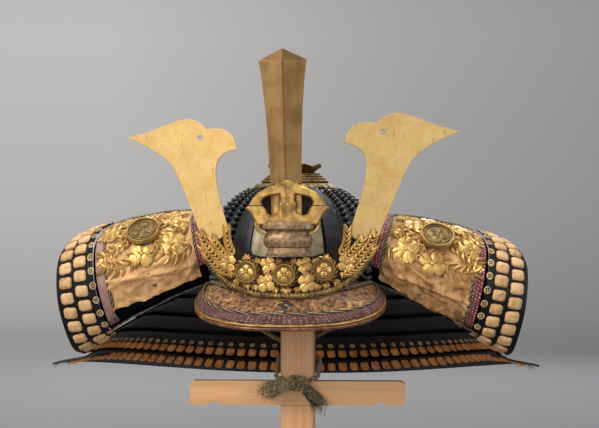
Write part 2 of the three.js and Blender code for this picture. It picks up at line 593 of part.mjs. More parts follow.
function makeHolder() {
  const lower = HOLDER_LOWER.map(([x, z]) => new THREE.Vector2(x, z));
  const upper = HOLDER_UPPER.map(([x, z]) => new THREE.Vector2(x, z));
  const mirror = (points) => points.map((p) => new THREE.Vector2(-p.x, p.y)).reverse();
  const notch = new THREE.Vector2(...HOLDER_NOTCH);
  const smooth = (points, count) => new THREE.SplineCurve(points).getPoints(count);
  const right = [...smooth(lower, 10), notch, ...smooth(upper, 8)];
  const outline = new THREE.Shape([...right, ...mirror(right).slice(1, -1)]);

  // Pierced gaps between the leaves: slits fanned along two sprays at each end,
  // and short ones between the flowers.
  const gaps = [];
  const slit = (x, z, length, angle) => {
    for (const side of [1, -1]) {
      const a = side > 0 ? angle : Math.PI - angle;
      const [across, up] = [(Math.cos(a) * length) / 2, (Math.sin(a) * length) / 2];
      gaps.push(leafShape(side * x - across, z - up, length, a, side * 0.6));
    }
  };
  for (let i = 0; i < 3; i += 1) {
    const share = i / 2;
    slit(lerp(85, 92, share), lerp(311, 328, share), 6, 0.5);
    slit(lerp(75, 84, share), lerp(303, 317, share), 6, 2.5);
    slit(lerp(68, 67, share), lerp(306, 329, share), 6, 0.7);
  }
  const shortSlits = [
    [57, 287, 0.9], [53, 275.5, 0.3], [31, 301, 0.1], [11, 299.5, 0.2], [33, 275, 1.5],
  ];
  for (const [x, z, a] of shortSlits) {
    slit(x, z, 6.5, a);
  }
  let flat = solid(extrude(outline, HOLDER.thickness));
  for (const gap of gaps) {
    const cut = extrude(gap, HOLDER.thickness + 4);
    cut.translate(0, 0, -2);
    flat = flat.subtract(solid(cut));
  }
  for (const side of [-1, 1]) {
    for (const [x, z, size] of [[22, 277, 8.4], [22, 295, 7.2], [65, 297, 8.4]]) {
      flat = flat.add(solid(extrude(flowerShape(side * x, z, size, 0.4), HOLDER.thickness + 1.2)));
    }
  }
  const plate = drape(fromSolid(flat), (x, z, h) => holderMap(x, z, -h), { longest: 40 });

  // The ribbed lower lip that carries the holder back to the visor and the bowl.
  const lowerCurve = new THREE.SplineCurve([...mirror(lower).slice(0, -1), ...lower]);
  const lip = wall((u, v) => {
    const p = lowerCurve.getPoint(u);
    return holderMap(p.x, p.y + 2 + HOLDER.lipRise * v, lerp(-HOLDER.thickness / 2, HOLDER.lipDepth, v));
  }, spread(0.27, 0.73, 12), [0, 1], -HOLDER.lipHeight / 2, HOLDER.lipHeight / 2);
  add('crest_holder', fromSolid(solid(plate).add(solid(lip))), 'gilt');

  const { medallionRadius, medallionX, medallionZ, centreMedallionZ } = HOLDER;
  for (const [label, x, z] of [['left', -medallionX, medallionZ], ['centre', 0, centreMedallionZ],
    ['right', medallionX, medallionZ]]) {
    const disc = new THREE.CylinderGeometry(medallionRadius, medallionRadius - 1.5, 3, 20);
    disc.rotateZ(Math.atan(x / HOLDER.bend));
    const at = holderMap(x, z, -HOLDER.thickness - 3.8);
    disc.translate(at.x, at.y, at.z);
    add(`holder_medallion_${label}`, disc, 'gilt');
  }
}

// ---------------------------------------------------------------- crests
function hornShape() {
  const c = HORN_CORNERS;
  const shape = new THREE.Shape();
  shape.moveTo(...c.rootOuter).lineTo(...c.rootInner).lineTo(...c.neckInner);
  shape.bezierCurveTo(9.6, 30, 1.4, 48, ...c.throat);
  shape.bezierCurveTo(-0.4, 84, 6.7, 93, ...c.innerPoint);
  shape.bezierCurveTo(23.2, 106, 16.3, 115.5, ...c.innerLobe);
  shape.bezierCurveTo(0.2, 118.6, -7.6, 118.4, ...c.notch);
  shape.bezierCurveTo(-16.2, 122, -24.4, 128.9, ...c.outerLobe);
  shape.bezierCurveTo(-53.6, 128.2, -78.5, 113, ...c.outerPoint);
  shape.bezierCurveTo(-84, 101, -61.5, 89.5, ...c.armpit);
  shape.bezierCurveTo(-41.5, 64, -28.6, 30, ...c.neckOuter);
  const { x, z, size } = HEART;
  const heart = new THREE.Path();
  heart.moveTo(x, z - size).bezierCurveTo(x - size * 1.6, z, x - size, z + size * 1.3, x, z + size * 0.5);
  heart.bezierCurveTo(x + size, z + size * 1.3, x + size * 1.6, z, x, z - size);
  shape.holes.push(heart);
  return shape;
}

function mirrorX(geometry) {
  const mirrored = fromSolid(solid(geometry));
  mirrored.scale(-1, 1, 1);
  const index = mirrored.index.array;
  for (let i = 0; i < index.length; i += 3) [index[i + 1], index[i + 2]] = [index[i + 2], index[i + 1]];
  mirrored.computeVertexNormals();
  return mirrored;
}

function makeHorns() {
  for (const { label, side, out, up } of HORN_SEATS) {
    const plate = extrude(hornShape(), HORN.thickness, 4);
    plate.translate(0, 0, -HORN.thickness);
    plate.rotateX(Math.PI / 2 - rad(HORN.lean));
    plate.rotateZ(rad(-HORN.turn));
    const foot = holderMap(HORN.footX + out, HORN.footZ, GAP + 1.8);
    plate.translate(-foot.x, foot.y, foot.z + up);
    add(`crest_horn_${label}`, side < 0 ? plate : mirrorX(plate), 'gilt');
  }
}

function makeBlade() {
  const half = BLADE.thickness / 2;
  const rings = BLADE_SECTIONS.map(({ z, half: w }) => [
    vec(-w, BLADE.y, z), vec(0, BLADE.y - half, z), vec(w, BLADE.y, z), vec(0, BLADE.y + half, z),
  ]);
  rings.push(rings[0].map((p, i) => (
    vec(i % 2 ? 0 : Math.sign(p.x) * 0.4, BLADE.y + (i % 2 ? (i - 2) * 0.3 : 0), BLADE_TIP))));
  const tangTop = BLADE.foot + 3;
  const tang = new THREE.BoxGeometry(33, BLADE.tangThickness, tangTop - BLADE.tangFoot);
  const tangY = HILT.front + HILT.plate + GAP + BLADE.tangThickness / 2;
  tang.translate(0, tangY, (tangTop + BLADE.tangFoot) / 2);
  const blade = fromSolid(join([loft(rings), tang]));
  blade.translate(0, 0, -BLADE.foot).rotateY(rad(-BLADE.lean)).translate(0, 0, BLADE.foot);
  add('crest_blade', blade, 'gilt_dark');
}

function makeHilt() {
  // Claws: half outline from the middle of the collar, round the outer tip, to the neck.
  const outer = [[0, 384.4], [4.8, 381.4], [9.4, 384.4], [14, 380.6], [22.4, 377.8], [31, 373.4],
    [37.8, 366.4], [41.2, 360], [45.2, 356], [40, 352], [36.4, 345.6], [32.6, 338]];
  const hole = [[8.6, 371], [19, 369.4], [25.2, 367], [28, 363], [26.6, 359], [23.6, 355.4],
    [21.6, 350.6], [17, 348.2], [11, 350.4], [8.8, 354], [9.8, 361.6], [7.6, 364.4]];
  const left = outer.slice(1).map(([x, z]) => [-x, z]);
  const shape = new THREE.Shape([...outer, ...left.reverse()].map(([x, z]) => new THREE.Vector2(x, z)));
  let pierced = solid(extrude(shape, HILT.plate));
  for (const side of [1, -1]) {
    const opening = new THREE.Shape(hole.map(([x, z]) => new THREE.Vector2(side * x, z)));
    pierced = pierced.subtract(solid(extrude(opening, HILT.plate + 2).translate(0, 0, -1)));
  }
  const claws = fromSolid(pierced);
  claws.rotateX(Math.PI / 2);
  claws.translate(0, HILT.front + HILT.plate, 0);

  const neckProfile = [
    [0, 305.1], [24, 305.1], [22.4, 308], [21.6, 313.6], [25.2, 317], [26.8, 322.5], [23.6, 329.4],
    [24.8, 333], [30.8, 337.4], [29.8, 341.6], [0, 341.6],
  ].map(([r, z]) => new THREE.Vector2(r, z));
  const neck = new THREE.LatheGeometry(neckProfile, 16);
  neck.rotateX(Math.PI / 2);
  neck.scale(1, HILT.depthRatio, 1);
  neck.translate(0, HILT.front + HILT.plate + 1.5, 0);
  if (solid(neck).volume() < 0) throw new Error('neck is inside out');
  const hilt = fromSolid(join([claws, neck]));
  hilt.translate(HILT.x, 0, 0);
  add('crest_hilt', hilt, 'gilt_dark');
}

// ---------------------------------------------------------------- chin cord
// Each cord leaves its ring in the bowl, crosses behind the post and comes round to the knot in front.
const CORD_ROUTES = {
  left: [[-86, -14, 252], [-70, -8, 241], [-48, 6, 224], [-26, 20, 209], [-6, 25, 199], [14, 25.5, 191],
    [22.5, 21, 185], [23, 6, 178], [23.2, -8, 172], [22.5, -20, 167], [16, -25.5, 164.5]],
  right: [[86, -14, 252], [70, -6, 241], [48, 12, 226], [26, 27, 214], [6, 32, 205], [-14, 29, 195],
    [-22.5, 21, 187], [-23, 6, 179], [-23.2, -8, 172], [-22.5, -20, 167.5], [-14, -25.5, 165]],
};
function makeChinCord() {
  for (const [label, route] of Object.entries(CORD_ROUTES)) {
    const section = new THREE.Shape().absarc(0, 0, CORD.diameter / 2, 0, 2 * Math.PI);
    const tube = new THREE.ExtrudeGeometry(section, {
      steps: 20, curveSegments: 4, bevelEnabled: false,
      extrudePath: new THREE.CatmullRomCurve3(
        route.map(([x, y, z], i) => vec(x + STAND.x * Math.min(i / 4, 1), y, z))),
    });
    add(`chin_cord_${label}`, tube, 'silk_cord');
    const side = label === 'left' ? -1 : 1;
    const ring = new THREE.TorusGeometry(6, 1.3, 5, 10);
    ring.rotateY(Math.PI / 2);
    ring.translate(side * (CORD.ringX + 2.2), CORD.ringY, CORD.ringZ + 3.2);
    add(`cord_ring_${label}`, ring, 'gilt_dark');
  }
  const knot = new THREE.SphereGeometry(1, 10, 8);
  knot.scale(11, 6, 8.5);
  knot.translate(STAND.x + 1, -26, 161);
  add('chin_cord_knot', knot, 'silk_cord');
  const tassels = {
    left: [
      { at: [-8, -34.5, 161], r: 4 }, { at: [-16, -34, 157], r: 6.5 },
      { at: [-27, -33, 150], r: 8.5 }, { at: [-31, -32, 147], r: 6 },
    ],
    right: [
      { at: [13, -34.5, 155], r: 4 }, { at: [17, -33, 151], r: 6 },
      { at: [28, -31, 140], r: 8 }, { at: [32, -30, 134], r: 6 },
    ],
  };
  for (const [label, rows] of Object.entries(tassels)) {
    const path = new THREE.CatmullRomCurve3(rows.map(({ at }) => vec(...at)));
    const frames = path.computeFrenetFrames(rows.length - 1);
    const rings = rows.map(({ at, r }, i) => Array.from({ length: 8 }, (_, k) => {
      const a = (k / 8) * 2 * Math.PI;
      return vec(...at).addScaledVector(frames.normals[i], r * Math.cos(a))
        .addScaledVector(frames.binormals[i], r * Math.sin(a));
    }));
    const made = loft(rings);
    add(`chin_cord_tassel_${label}`, made, 'silk_cord');
  }
}

makeStand();
makeBowl();
makeFrontPlate();
makeCrownMount();
makeVisor();
for (const lame of LAMES) makeLame(lame);
makeTurnbacks();
makeHolder();
makeHorns();
makeBlade();
makeHilt();
makeChinCord();

export default helmet;
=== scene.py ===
# %% [markdown]
# # A samurai helmet on its stand
# A kabuto is a riveted iron bowl with a wide neck guard of laced plates. Its front carries a gilt holder
# with two horns and a blade. This lesson loads the finished solids as a fixed frame, then models the
# detailed pieces over them: studs, ribs, silk cushions, leather, openwork and cord.

# %% Load the frame
import math
import random

import bpy
from mathutils import Matrix, Vector, noise


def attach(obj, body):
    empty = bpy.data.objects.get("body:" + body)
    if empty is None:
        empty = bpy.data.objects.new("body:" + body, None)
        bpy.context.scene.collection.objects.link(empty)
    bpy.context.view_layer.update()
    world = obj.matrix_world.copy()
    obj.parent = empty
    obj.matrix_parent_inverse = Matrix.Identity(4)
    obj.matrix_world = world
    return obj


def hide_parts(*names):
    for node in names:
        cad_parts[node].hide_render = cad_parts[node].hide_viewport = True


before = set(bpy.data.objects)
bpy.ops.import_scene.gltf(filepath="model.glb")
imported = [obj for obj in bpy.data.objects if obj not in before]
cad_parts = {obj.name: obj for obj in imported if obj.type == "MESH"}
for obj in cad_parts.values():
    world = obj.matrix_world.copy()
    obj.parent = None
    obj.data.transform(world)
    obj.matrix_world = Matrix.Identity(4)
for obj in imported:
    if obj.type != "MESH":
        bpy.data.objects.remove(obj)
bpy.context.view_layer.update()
MM = 0.001
random.seed(11)

# %% [markdown]
# ## Camera
# A long lens held level keeps the helmet's proportions true. The camera stands a little to the
# right of the middle, just above the crest holder, so that the horns and the blade rise over it.

# %% Camera
CAMERA_DISTANCE = 2.6
CAMERA_TURN = math.radians(4)
CAMERA_HEIGHT = 0.350
VIEW_WIDTH = 0.677
AIM_RIGHT = 0.0051

camera_data = bpy.data.cameras.new("camera")
camera_data.lens = camera_data.sensor_width * CAMERA_DISTANCE / VIEW_WIDTH
camera = bpy.data.objects.new("camera", camera_data)
bpy.context.scene.collection.objects.link(camera)
right = Vector((math.cos(CAMERA_TURN), math.sin(CAMERA_TURN), 0))
back = Vector((math.sin(CAMERA_TURN), -math.cos(CAMERA_TURN), 0))
camera.location = back * CAMERA_DISTANCE + right * AIM_RIGHT + Vector((0, 0, CAMERA_HEIGHT))
camera.rotation_euler = (math.pi / 2, 0, CAMERA_TURN)
bpy.context.scene.camera = camera
print("camera at", [round(c, 3) for c in camera.location], "lens", round(camera_data.lens, 1))

# %% [markdown]
# ## Small helpers
# Every operator acts on what is selected, so each step starts by selecting one object alone.
# A grid is the start of every curved sheet: its corners are numbered by u and v, and a function
# puts each of them in place. Its UV map then follows the surface, which patterns use later.


# %% Helpers
def only(obj):
    bpy.ops.object.select_all(action="DESELECT")
    obj.select_set(True)
    bpy.context.view_layer.objects.active = obj
    return obj


def mix(a, b, x):
    return a + (b - a) * x


def smooth(x, low=0.0, high=1.0):
    x = min(max((x - low) / (high - low), 0), 1)
    return x * x * (3 - 2 * x)


def merge(obj, distance=1e-5):
    """Close seams and poles, then point every face outwards."""
    only(obj)
    bpy.ops.object.mode_set(mode="EDIT")
    bpy.ops.mesh.select_all(action="SELECT")
    bpy.ops.mesh.remove_doubles(threshold=distance)
    bpy.ops.mesh.normals_make_consistent(inside=False)
    bpy.ops.object.mode_set(mode="OBJECT")
    return obj


def close(obj):
    """Fill the open ends of a tube or a bar."""
    merge(obj)
    bpy.ops.object.mode_set(mode="EDIT")
    bpy.ops.mesh.fill_holes(sides=0)
    bpy.ops.mesh.normals_make_consistent(inside=False)
    bpy.ops.object.mode_set(mode="OBJECT")
    return obj


def flip(obj):
    """Turn every face over."""
    only(obj)
    bpy.ops.object.mode_set(mode="EDIT")
    bpy.ops.mesh.select_all(action="SELECT")
    bpy.ops.mesh.flip_normals()
    bpy.ops.object.mode_set(mode="OBJECT")


def modify(obj, kind, **values):
    """Add a modifier, set it, and apply it."""
    only(obj)
    modifier = obj.modifiers.new(kind.title(), kind)
    for key, value in values.items():
        setattr(modifier, key, value)
    bpy.ops.object.modifier_apply(modifier=modifier.name)
    return obj


def skin(name, point, nu, nv):
    """A sheet of nu by nv faces. point(u, v) gives millimetres for u and v from 0 to 1."""
    bpy.ops.object.select_all(action="DESELECT")
    bpy.ops.mesh.primitive_grid_add(x_subdivisions=nu, y_subdivisions=nv, size=1)
    obj = bpy.context.active_object
    obj.name = obj.data.name = name
    for vertex in obj.data.vertices:
        vertex.co = Vector(point(vertex.co.x + 0.5, vertex.co.y + 0.5)) * MM
    return obj


def drawn(name, corners, faces):
    """A mesh from its corners, in metres, and its faces."""
    mesh = bpy.data.meshes.new(name)
    mesh.from_pydata([tuple(c) for c in corners], [], faces)
    mesh.update()
    obj = bpy.data.objects.new(name, mesh)
    bpy.context.scene.collection.objects.link(obj)
    return obj


def wall(obj, thickness, side=-1):
    """Give a sheet a thickness in millimetres, behind (-1), in front (1) or about it (0)."""
    return modify(obj, "SOLIDIFY", thickness=thickness * MM, offset=side, use_even_offset=False)


def tube(name, path, radius, around=8, closed=False, lobes=0, twist=0.0, depth=0.22):
    """A round bar along path(v). With lobes, strands wind round it like a rope's."""
    count = len(path)
    points = [Vector(p) for p in path]
    frames = []
    normal = Vector((0, 0, 1))
    for i, p in enumerate(points):
        before = points[i - 1] if i or closed else p
        after = points[(i + 1) % count] if i < count - 1 or closed else p
        along = (after - before).normalized()
        if i == 0 and abs(along.dot(normal)) > 0.9:
            normal = Vector((0, 1, 0))
        normal = (normal - along * normal.dot(along)).normalized()
        frames.append((p, normal.copy(), along.cross(normal)))
    last = count if closed else count - 1

    def point(u, v):
        i = round(v * last)
        p, n, b = frames[i % count]
        r = radius(i / last) if callable(radius) else radius
        a = -2 * math.pi * u
        if lobes:
            r *= 1 + depth * (abs(math.cos(lobes * a / 2 + twist * i)) - 0.6)
        return p + n * (r * math.cos(a)) + b * (r * math.sin(a))

    obj = skin(name, point, around, last)
    return merge(obj) if closed else close(obj)


def spun(name, profile, steps=48):
    """A turned piece: a profile of (radius, height) drawn point by point, then spun round Z."""
    bpy.ops.object.select_all(action="DESELECT")
    bpy.ops.mesh.primitive_plane_add(size=1)
    obj = bpy.context.active_object
    obj.name = obj.data.name = name
    bpy.ops.object.mode_set(mode="EDIT")
    bpy.ops.mesh.merge(type="CENTER")
    bpy.ops.transform.translate(value=Vector((profile[0][0], 0, profile[0][1])) * MM)
    for (r0, z0), (r1, z1) in zip(profile, profile[1:]):
        step = Vector((r1 - r0, 0, z1 - z0)) * MM
        bpy.ops.mesh.extrude_region_move(TRANSFORM_OT_translate={"value": step})
    bpy.ops.mesh.select_all(action="SELECT")
    bpy.ops.mesh.spin(steps=steps, angle=2 * math.pi, center=(0, 0, 0), axis=(0, 0, 1))
    bpy.ops.object.mode_set(mode="OBJECT")
    return merge(obj)


def cut_plate(name, outline, holes, thickness, bevel, steps=10, rounds=1):
    """A flat plate standing in X and Z. A corner is (x, z), or its place and its two handles."""
    curve = bpy.data.curves.new(name, "CURVE")
    curve.dimensions, curve.fill_mode, curve.resolution_u = "2D", "BOTH", steps
    curve.extrude = (thickness / 2 - bevel) * MM
    curve.bevel_depth, curve.bevel_resolution = bevel * MM, rounds
    curve.offset = -bevel * MM
    for corners in (outline, *holes):
        corners = [c if isinstance(c[0], tuple) else (c, None, None) for c in corners]
        spline = curve.splines.new("BEZIER")
        spline.bezier_points.add(len(corners) - 1)
        spline.use_cyclic_u = True
        for i, (bend, (at, before, after)) in enumerate(zip(spline.bezier_points, corners)):
            bend.handle_left_type = bend.handle_right_type = "FREE"
            last, following = corners[i - 1][0], corners[(i + 1) % len(corners)][0]
            before = before or (mix(at[0], last[0], 0.3), mix(at[1], last[1], 0.3))
            after = after or (mix(at[0], following[0], 0.3), mix(at[1], following[1], 0.3))
            bend.co = (at[0] * MM, at[1] * MM, 0)
            bend.handle_left = (before[0] * MM, before[1] * MM, 0)
            bend.handle_right = (after[0] * MM, after[1] * MM, 0)
    obj = bpy.data.objects.new(name, curve)
    bpy.context.scene.collection.objects.link(obj)
    obj.rotation_euler = (math.pi / 2, 0, 0)
    only(obj)
    bpy.ops.object.convert(target="MESH")
    obj = bpy.context.active_object
    bpy.ops.object.transform_apply(location=True, rotation=True, scale=True)
    return merge(obj)


def part_of(name, obj, low=None, high=None):
    """A copy of a piece, cut level at a height in millimetres below, above or both, and closed again."""
    only(obj)
    bpy.ops.object.duplicate()
    piece = bpy.context.active_object
    piece.name = piece.data.name = name
    bpy.ops.object.mode_set(mode="EDIT")
    for height, upper in ((low, False), (high, True)):
        if height is not None:
            bpy.ops.mesh.select_all(action="SELECT")
            bpy.ops.mesh.bisect(plane_co=(0, 0, height * MM), plane_no=(0, 0, 1), use_fill=True,
                                clear_inner=not upper, clear_outer=upper)
    bpy.ops.object.mode_set(mode="OBJECT")
    return piece


def move(obj, matrix):
    obj.data.transform(matrix)
    return obj


def reshape(obj, place):
    """Move every corner: place gets and gives millimetres."""
    for vertex in obj.data.vertices:
        vertex.co = Vector(place(*(vertex.co / MM))) * MM
    return obj


def join(name, pieces):
    """Join several meshes into one object."""
    bpy.ops.object.select_all(action="DESELECT")
    for piece in pieces:
        piece.select_set(True)
    bpy.context.view_layer.objects.active = pieces[0]
    bpy.ops.object.join()
    obj = bpy.context.active_object
    obj.name = obj.data.name = name
    return obj


def repeat(name, template, matrices):
    """Copy one small template to many places and join the copies into one mesh."""
    size = len(template.data.vertices)
    corners, faces = [], []
    polygons = [list(p.vertices) for p in template.data.polygons]
    for i, matrix in enumerate(matrices):
        corners.extend(matrix @ v.co for v in template.data.vertices)
        faces.extend([[k + i * size for k in p] for p in polygons])
    return drawn(name, corners, faces)


def done(obj, material, slot, *replaced, angle=40):
    """Finish a piece: smooth shading, its material, its place on the helmet, and the solid it stands for."""
    only(obj)
    bpy.ops.object.transform_apply(location=True, rotation=True, scale=True)
    if angle:
        bpy.ops.object.shade_smooth_by_angle(angle=math.radians(angle))
    obj.data.materials.clear()
    for one in material if isinstance(material, (list, tuple)) else [material]:
        obj.data.materials.append(one)
    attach(obj, "root")
    if replaced:
        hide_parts(*replaced)
    print(f"{obj.name}: {len(obj.data.polygons)} faces")
    return obj


# %% [markdown]
# ## Smooth curves
# A few measured points are given. A Catmull-Rom spline passes through all of them, and its
# centripetal form never loops, so it is the curve used for the bowl's profile, the cords and the guard.


# %% Curves through measured points
def through(points, x):
    """The point at share x of the spans of a centripetal Catmull-Rom curve."""
    last = len(points) - 1
    x = min(max(x, 0), 1) * last
    i = min(int(x), last - 1)
    w = x - i
    p1, p2 = Vector(points[i]), Vector(points[i + 1])
    p0 = Vector(points[i - 1]) if i > 0 else p1 * 2 - p2
    p3 = Vector(points[i + 2]) if i + 2 <= last else p2 * 2 - p1
    d0, d1, d2 = ((b - a).length ** 0.5 or 1 for a, b in ((p0, p1), (p1, p2), (p2, p3)))
    t1 = ((p1 - p0) / d0 - (p2 - p0) / (d0 + d1) + (p2 - p1) / d1) * d1
    t2 = ((p2 - p1) / d1 - (p3 - p1) / (d1 + d2) + (p3 - p2) / d2) * d1
    return p1 + t1 * w + (p2 * 3 - p1 * 3 - t1 * 2 - t2) * w**2 + (p1 * 2 - p2 * 2 + t1 + t2) * w**3


FINE_STEPS = 400


def even(points, count):
    """count + 1 points at equal distances along the curve."""
    fine = [through(points, i / FINE_STEPS) for i in range(FINE_STEPS + 1)]
    length = [0.0]
    for a, b in zip(fine, fine[1:]):
        length.append(length[-1] + (b - a).length)
    made, i = [], 0
    for k in range(count + 1):
        at = length[-1] * k / count
        while i < FINE_STEPS - 1 and length[i + 1] < at:
            i += 1
        made.append(fine[i].lerp(fine[i + 1], min((at - length[i]) / (length[i + 1] - length[i]), 1)))
    return made


def span(points):
    """The length of a line through the points."""
    return sum((b - a).length for a, b in zip(points, points[1:]))


# %% [markdown]
# ## Finishes
# A material is one principled shader with a few nodes before it. `Finish` keeps the calls short: each
# method adds a node and gives back its output. Lengths are millimetres, because the object
# coordinates are scaled by a thousand first.


# %% Material helper
def paint(code):
    """A colour from its hex code, in the linear light that shaders use."""
    parts = [int(code[i : i + 2], 16) / 255 for i in (1, 3, 5)]
    return tuple(p / 12.92 if p < 0.04045 else ((p + 0.055) / 1.055) ** 2.4 for p in parts) + (1,)


class Finish:
    def __init__(self, name, colour="#808080", **sockets):
        self.material = bpy.data.materials.new(name)
        self.material.use_nodes = True
        self.tree = self.material.node_tree
        self.shader = self.tree.nodes["Principled BSDF"]
        self.shader.inputs["Base Color"].default_value = paint(colour)
        for key, value in sockets.items():
            name = key.replace("_", " ").lower()
            next(s for s in self.shader.inputs if s.name.lower() == name).default_value = value
        self.height = None
        self.material.diffuse_color = paint(colour)

    def node(self, kind, outlet=0, feeds=(), **settings):
        made = self.tree.nodes.new("ShaderNode" + kind)
        for key, value in settings.items():
            setattr(made, key, value)
        for key, value in dict(feeds).items():
            if isinstance(value, str):
                value = paint(value)
            if isinstance(value, bpy.types.NodeSocket):
                self.tree.links.new(value, made.inputs[key])
            else:
                made.inputs[key].default_value = value
        return made.outputs[outlet]

    def place(self, stretch=(1, 1, 1), turn=(0, 0, 0), uv=False):
        start = self.node("TexCoord", "UV" if uv else "Object")
        unit = 1 if uv else 1000
        scale = tuple(unit * s for s in stretch)
        return self.node("Mapping", feeds={"Vector": start, "Scale": scale, "Rotation": turn})

    def noise(self, size, detail=3.0, rough=0.55, on=None, bend=0.0):
        feeds = {"Vector": on or self.place(), "Scale": 1 / size, "Detail": detail}
        feeds |= {"Roughness": rough, "Distortion": bend}
        return self.node("TexNoise", "Fac", feeds)

    def cells(self, size, on=None, feature="F1"):
        feeds = {"Vector": on or self.place(), "Scale": 1 / size}
        return self.node("TexVoronoi", "Distance", feeds, feature=feature)

    def split(self, vector, axis):
        return self.node("SeparateXYZ", axis, {"Vector": vector})

    def maths(self, what, a, b=0.0):
        return self.node("Math", 0, {0: a, 1: b}, operation=what)

    def remap(self, value, low, high, a=0.0, b=1.0):
        feeds = {"Value": value, "From Min": low, "From Max": high, "To Min": a, "To Max": b}
        return self.node("MapRange", 0, feeds)

    def tone(self, value, *stops):
        made = self.tree.nodes.new("ShaderNodeValToRGB")
        self.tree.links.new(value, made.inputs["Fac"])
        ramp = made.color_ramp
        while len(ramp.elements) < len(stops):
            ramp.elements.new(0.5)
        for element, (at, colour) in zip(ramp.elements, stops):
            element.position = at
            element.color = paint(colour)
        return made.outputs["Color"]

    def blend(self, amount, a, b):
        made = self.tree.nodes.new("ShaderNodeMix")
        made.data_type = "RGBA"
        for socket, value in ((made.inputs[0], amount), (made.inputs[6], a), (made.inputs[7], b)):
            if isinstance(value, bpy.types.NodeSocket):
                self.tree.links.new(value, socket)
            else:
                socket.default_value = paint(value) if isinstance(value, str) else value
        return made.outputs[2]

    def relief(self, height, depth):
        """Raise and sink the surface by depth millimetres, over what is there already."""
        feeds = {"Height": height, "Distance": depth * MM, "Strength": 1.0}
        if self.height is not None:
            feeds["Normal"] = self.height
        self.height = self.node("Bump", feeds=feeds)
        self.tree.links.new(self.height, self.shader.inputs["Normal"])
        return self

    def colour(self, value):
        self.tree.links.new(value, self.shader.inputs["Base Color"])
        return self

    def rough(self, value, low=None, high=None):
        if low is not None:
            value = self.remap(value, 0.25, 0.75, low, high)
        self.tree.links.new(value, self.shader.inputs["Roughness"])
        return self


# %% [markdown]
# ## Metal
# Old gilding is thin gold over copper. It stays bright on the heights, turns brown in the pits, and
# shows a web of fine scratches. One recipe serves every metal piece, with its own three colours: wide
# noise for the tarnish, small dark pits, and stretched noise for the scratches. On reliefs, an Ambient
# Occlusion node tells how closed in a place is, and painted shade, with some dark patina, darkens it there.


# %% Metals
def metal(name, bright, dull, pit, rough, patch, pits, tarnish=(0.42, 0.68), shine=0.75, hollow=0):
    """rough and tarnish are ranges, patch and hollow are millimetres, pits and shine are shares. hollow is
    how far the painted shade in closed-in places reaches.
    """
    made = Finish(name, bright, metallic=shine, roughness=rough[0])
    wide = made.noise(patch, 5, 0.65)
    body = made.tone(wide, (0.0, bright), (tarnish[0], bright), (tarnish[1], dull), (1.0, dull))
    fine = made.noise(2.2, 4, 0.6)
    body = made.blend(made.remap(fine, 0.62 + 0.1 * (1 - pits), 0.8, 0, 0.85 * pits), body, pit)
    line = made.noise(3.2, 2, 0.5, made.place((1, 1, 0.09), (0.3, 0.5, 0.2)))
    body = made.blend(made.remap(line, 0.66, 0.74, 0, 0.35 * pits), body, pit)
    if hollow:
        # Painted shade with some dark patina: closed-in places are darkened towards near black.
        open_sky = made.node("AmbientOcclusion", "AO", {"Distance": hollow * MM}, samples=6)
        body = made.blend(made.remap(open_sky, 0.35, 0.75, 0.9, 0), body, "#1c1108")
    made.colour(body)
    made.rough(made.noise(8, 4), *rough)
    made.relief(made.noise(9, 3), 0.2).relief(fine, 0.06)
    made.body = body
    return made


relief_metal = metal("relief_gold", "#dcb46c", "#a47d42", "#3c2612", (0.3, 0.48), 12, 0.9, hollow=3)
old_metal = metal("old_gold", "#cca662", "#957645", "#46301c", (0.34, 0.52), 11, 0.9, (0.4, 0.62), hollow=3)
crown_metal = metal("crown_bronze", "#a38852", "#5e4a2c", "#241b10", (0.4, 0.6), 5, 0.9, (0.36, 0.6),
                    hollow=2)
bronze_metal = metal("bronze", "#b3966a", "#776050", "#48362c", (0.36, 0.54), 5, 0.9, (0.36, 0.6), hollow=4)
gold_relief, gold_old = relief_metal.material, old_metal.material
crown_bronze, bronze = crown_metal.material, bronze_metal.material
silver = metal("worn_silver", "#b8ac8c", "#90846a", "#403a2a", (0.5, 0.7), 12, 0.9, (0.4, 0.6), 0.4).material
# Painted shade: a near-black metal for plates where there is only shade, behind the holder's openwork and
# the hilt's claws.
shade_metal = metal("painted_shade_metal", "#2c2014", "#18110a", "#0c0805", (0.5, 0.7), 9, 0.6).material
boss_ground = metal("boss_ground", "#806a3e", "#574628", "#241a10", (0.42, 0.6), 7, 0.6).material
print("metals:", ", ".join(m.name for m in (gold_relief, gold_old, crown_bronze, bronze, silver, shade_metal)))

# %% [markdown]
# ## Chin cord
# Two silk cords leave rings inside the helmet, cross behind the post and come round to a knot in front
# of it. Each is a tube with wound strands. They are measured here, because a cord has a real length.

# %% Cords
STAND_X = 3.5
CORD_DIAMETER = 5
CORD_ROUTES = {
    "left": [(-86, -14, 252), (-70, -8, 241), (-48, 6, 224), (-26, 20, 209), (-6, 25, 199), (14, 25.5, 191),
             (22.5, 21, 185), (23, 6, 178), (23.2, -8, 172), (22.5, -20, 167), (16, -25.5, 164.5)],
    "right": [(86, -14, 252), (70, -6, 241), (48, 12, 226), (26, 27, 214), (6, 32, 205), (-14, 29, 195),
              (-22.5, 21, 187), (-23, 6, 179), (-23.2, -8, 172), (-22.5, -20, 167.5), (-14, -25.5, 165)],
}
silk = Finish("cord_silk", "#4a4230", roughness=0.75, sheen_weight=0.3)
thread = silk.noise(0.7, 2, 0.5, silk.place((1, 1, 0.3), (0.6, 0.3, 0)))
silk.colour(silk.tone(silk.noise(1.8, 4), (0.32, "#221c10"), (0.5, "#6e5f3e"), (0.68, "#b8a26c")))
silk.relief(thread, 0.25)


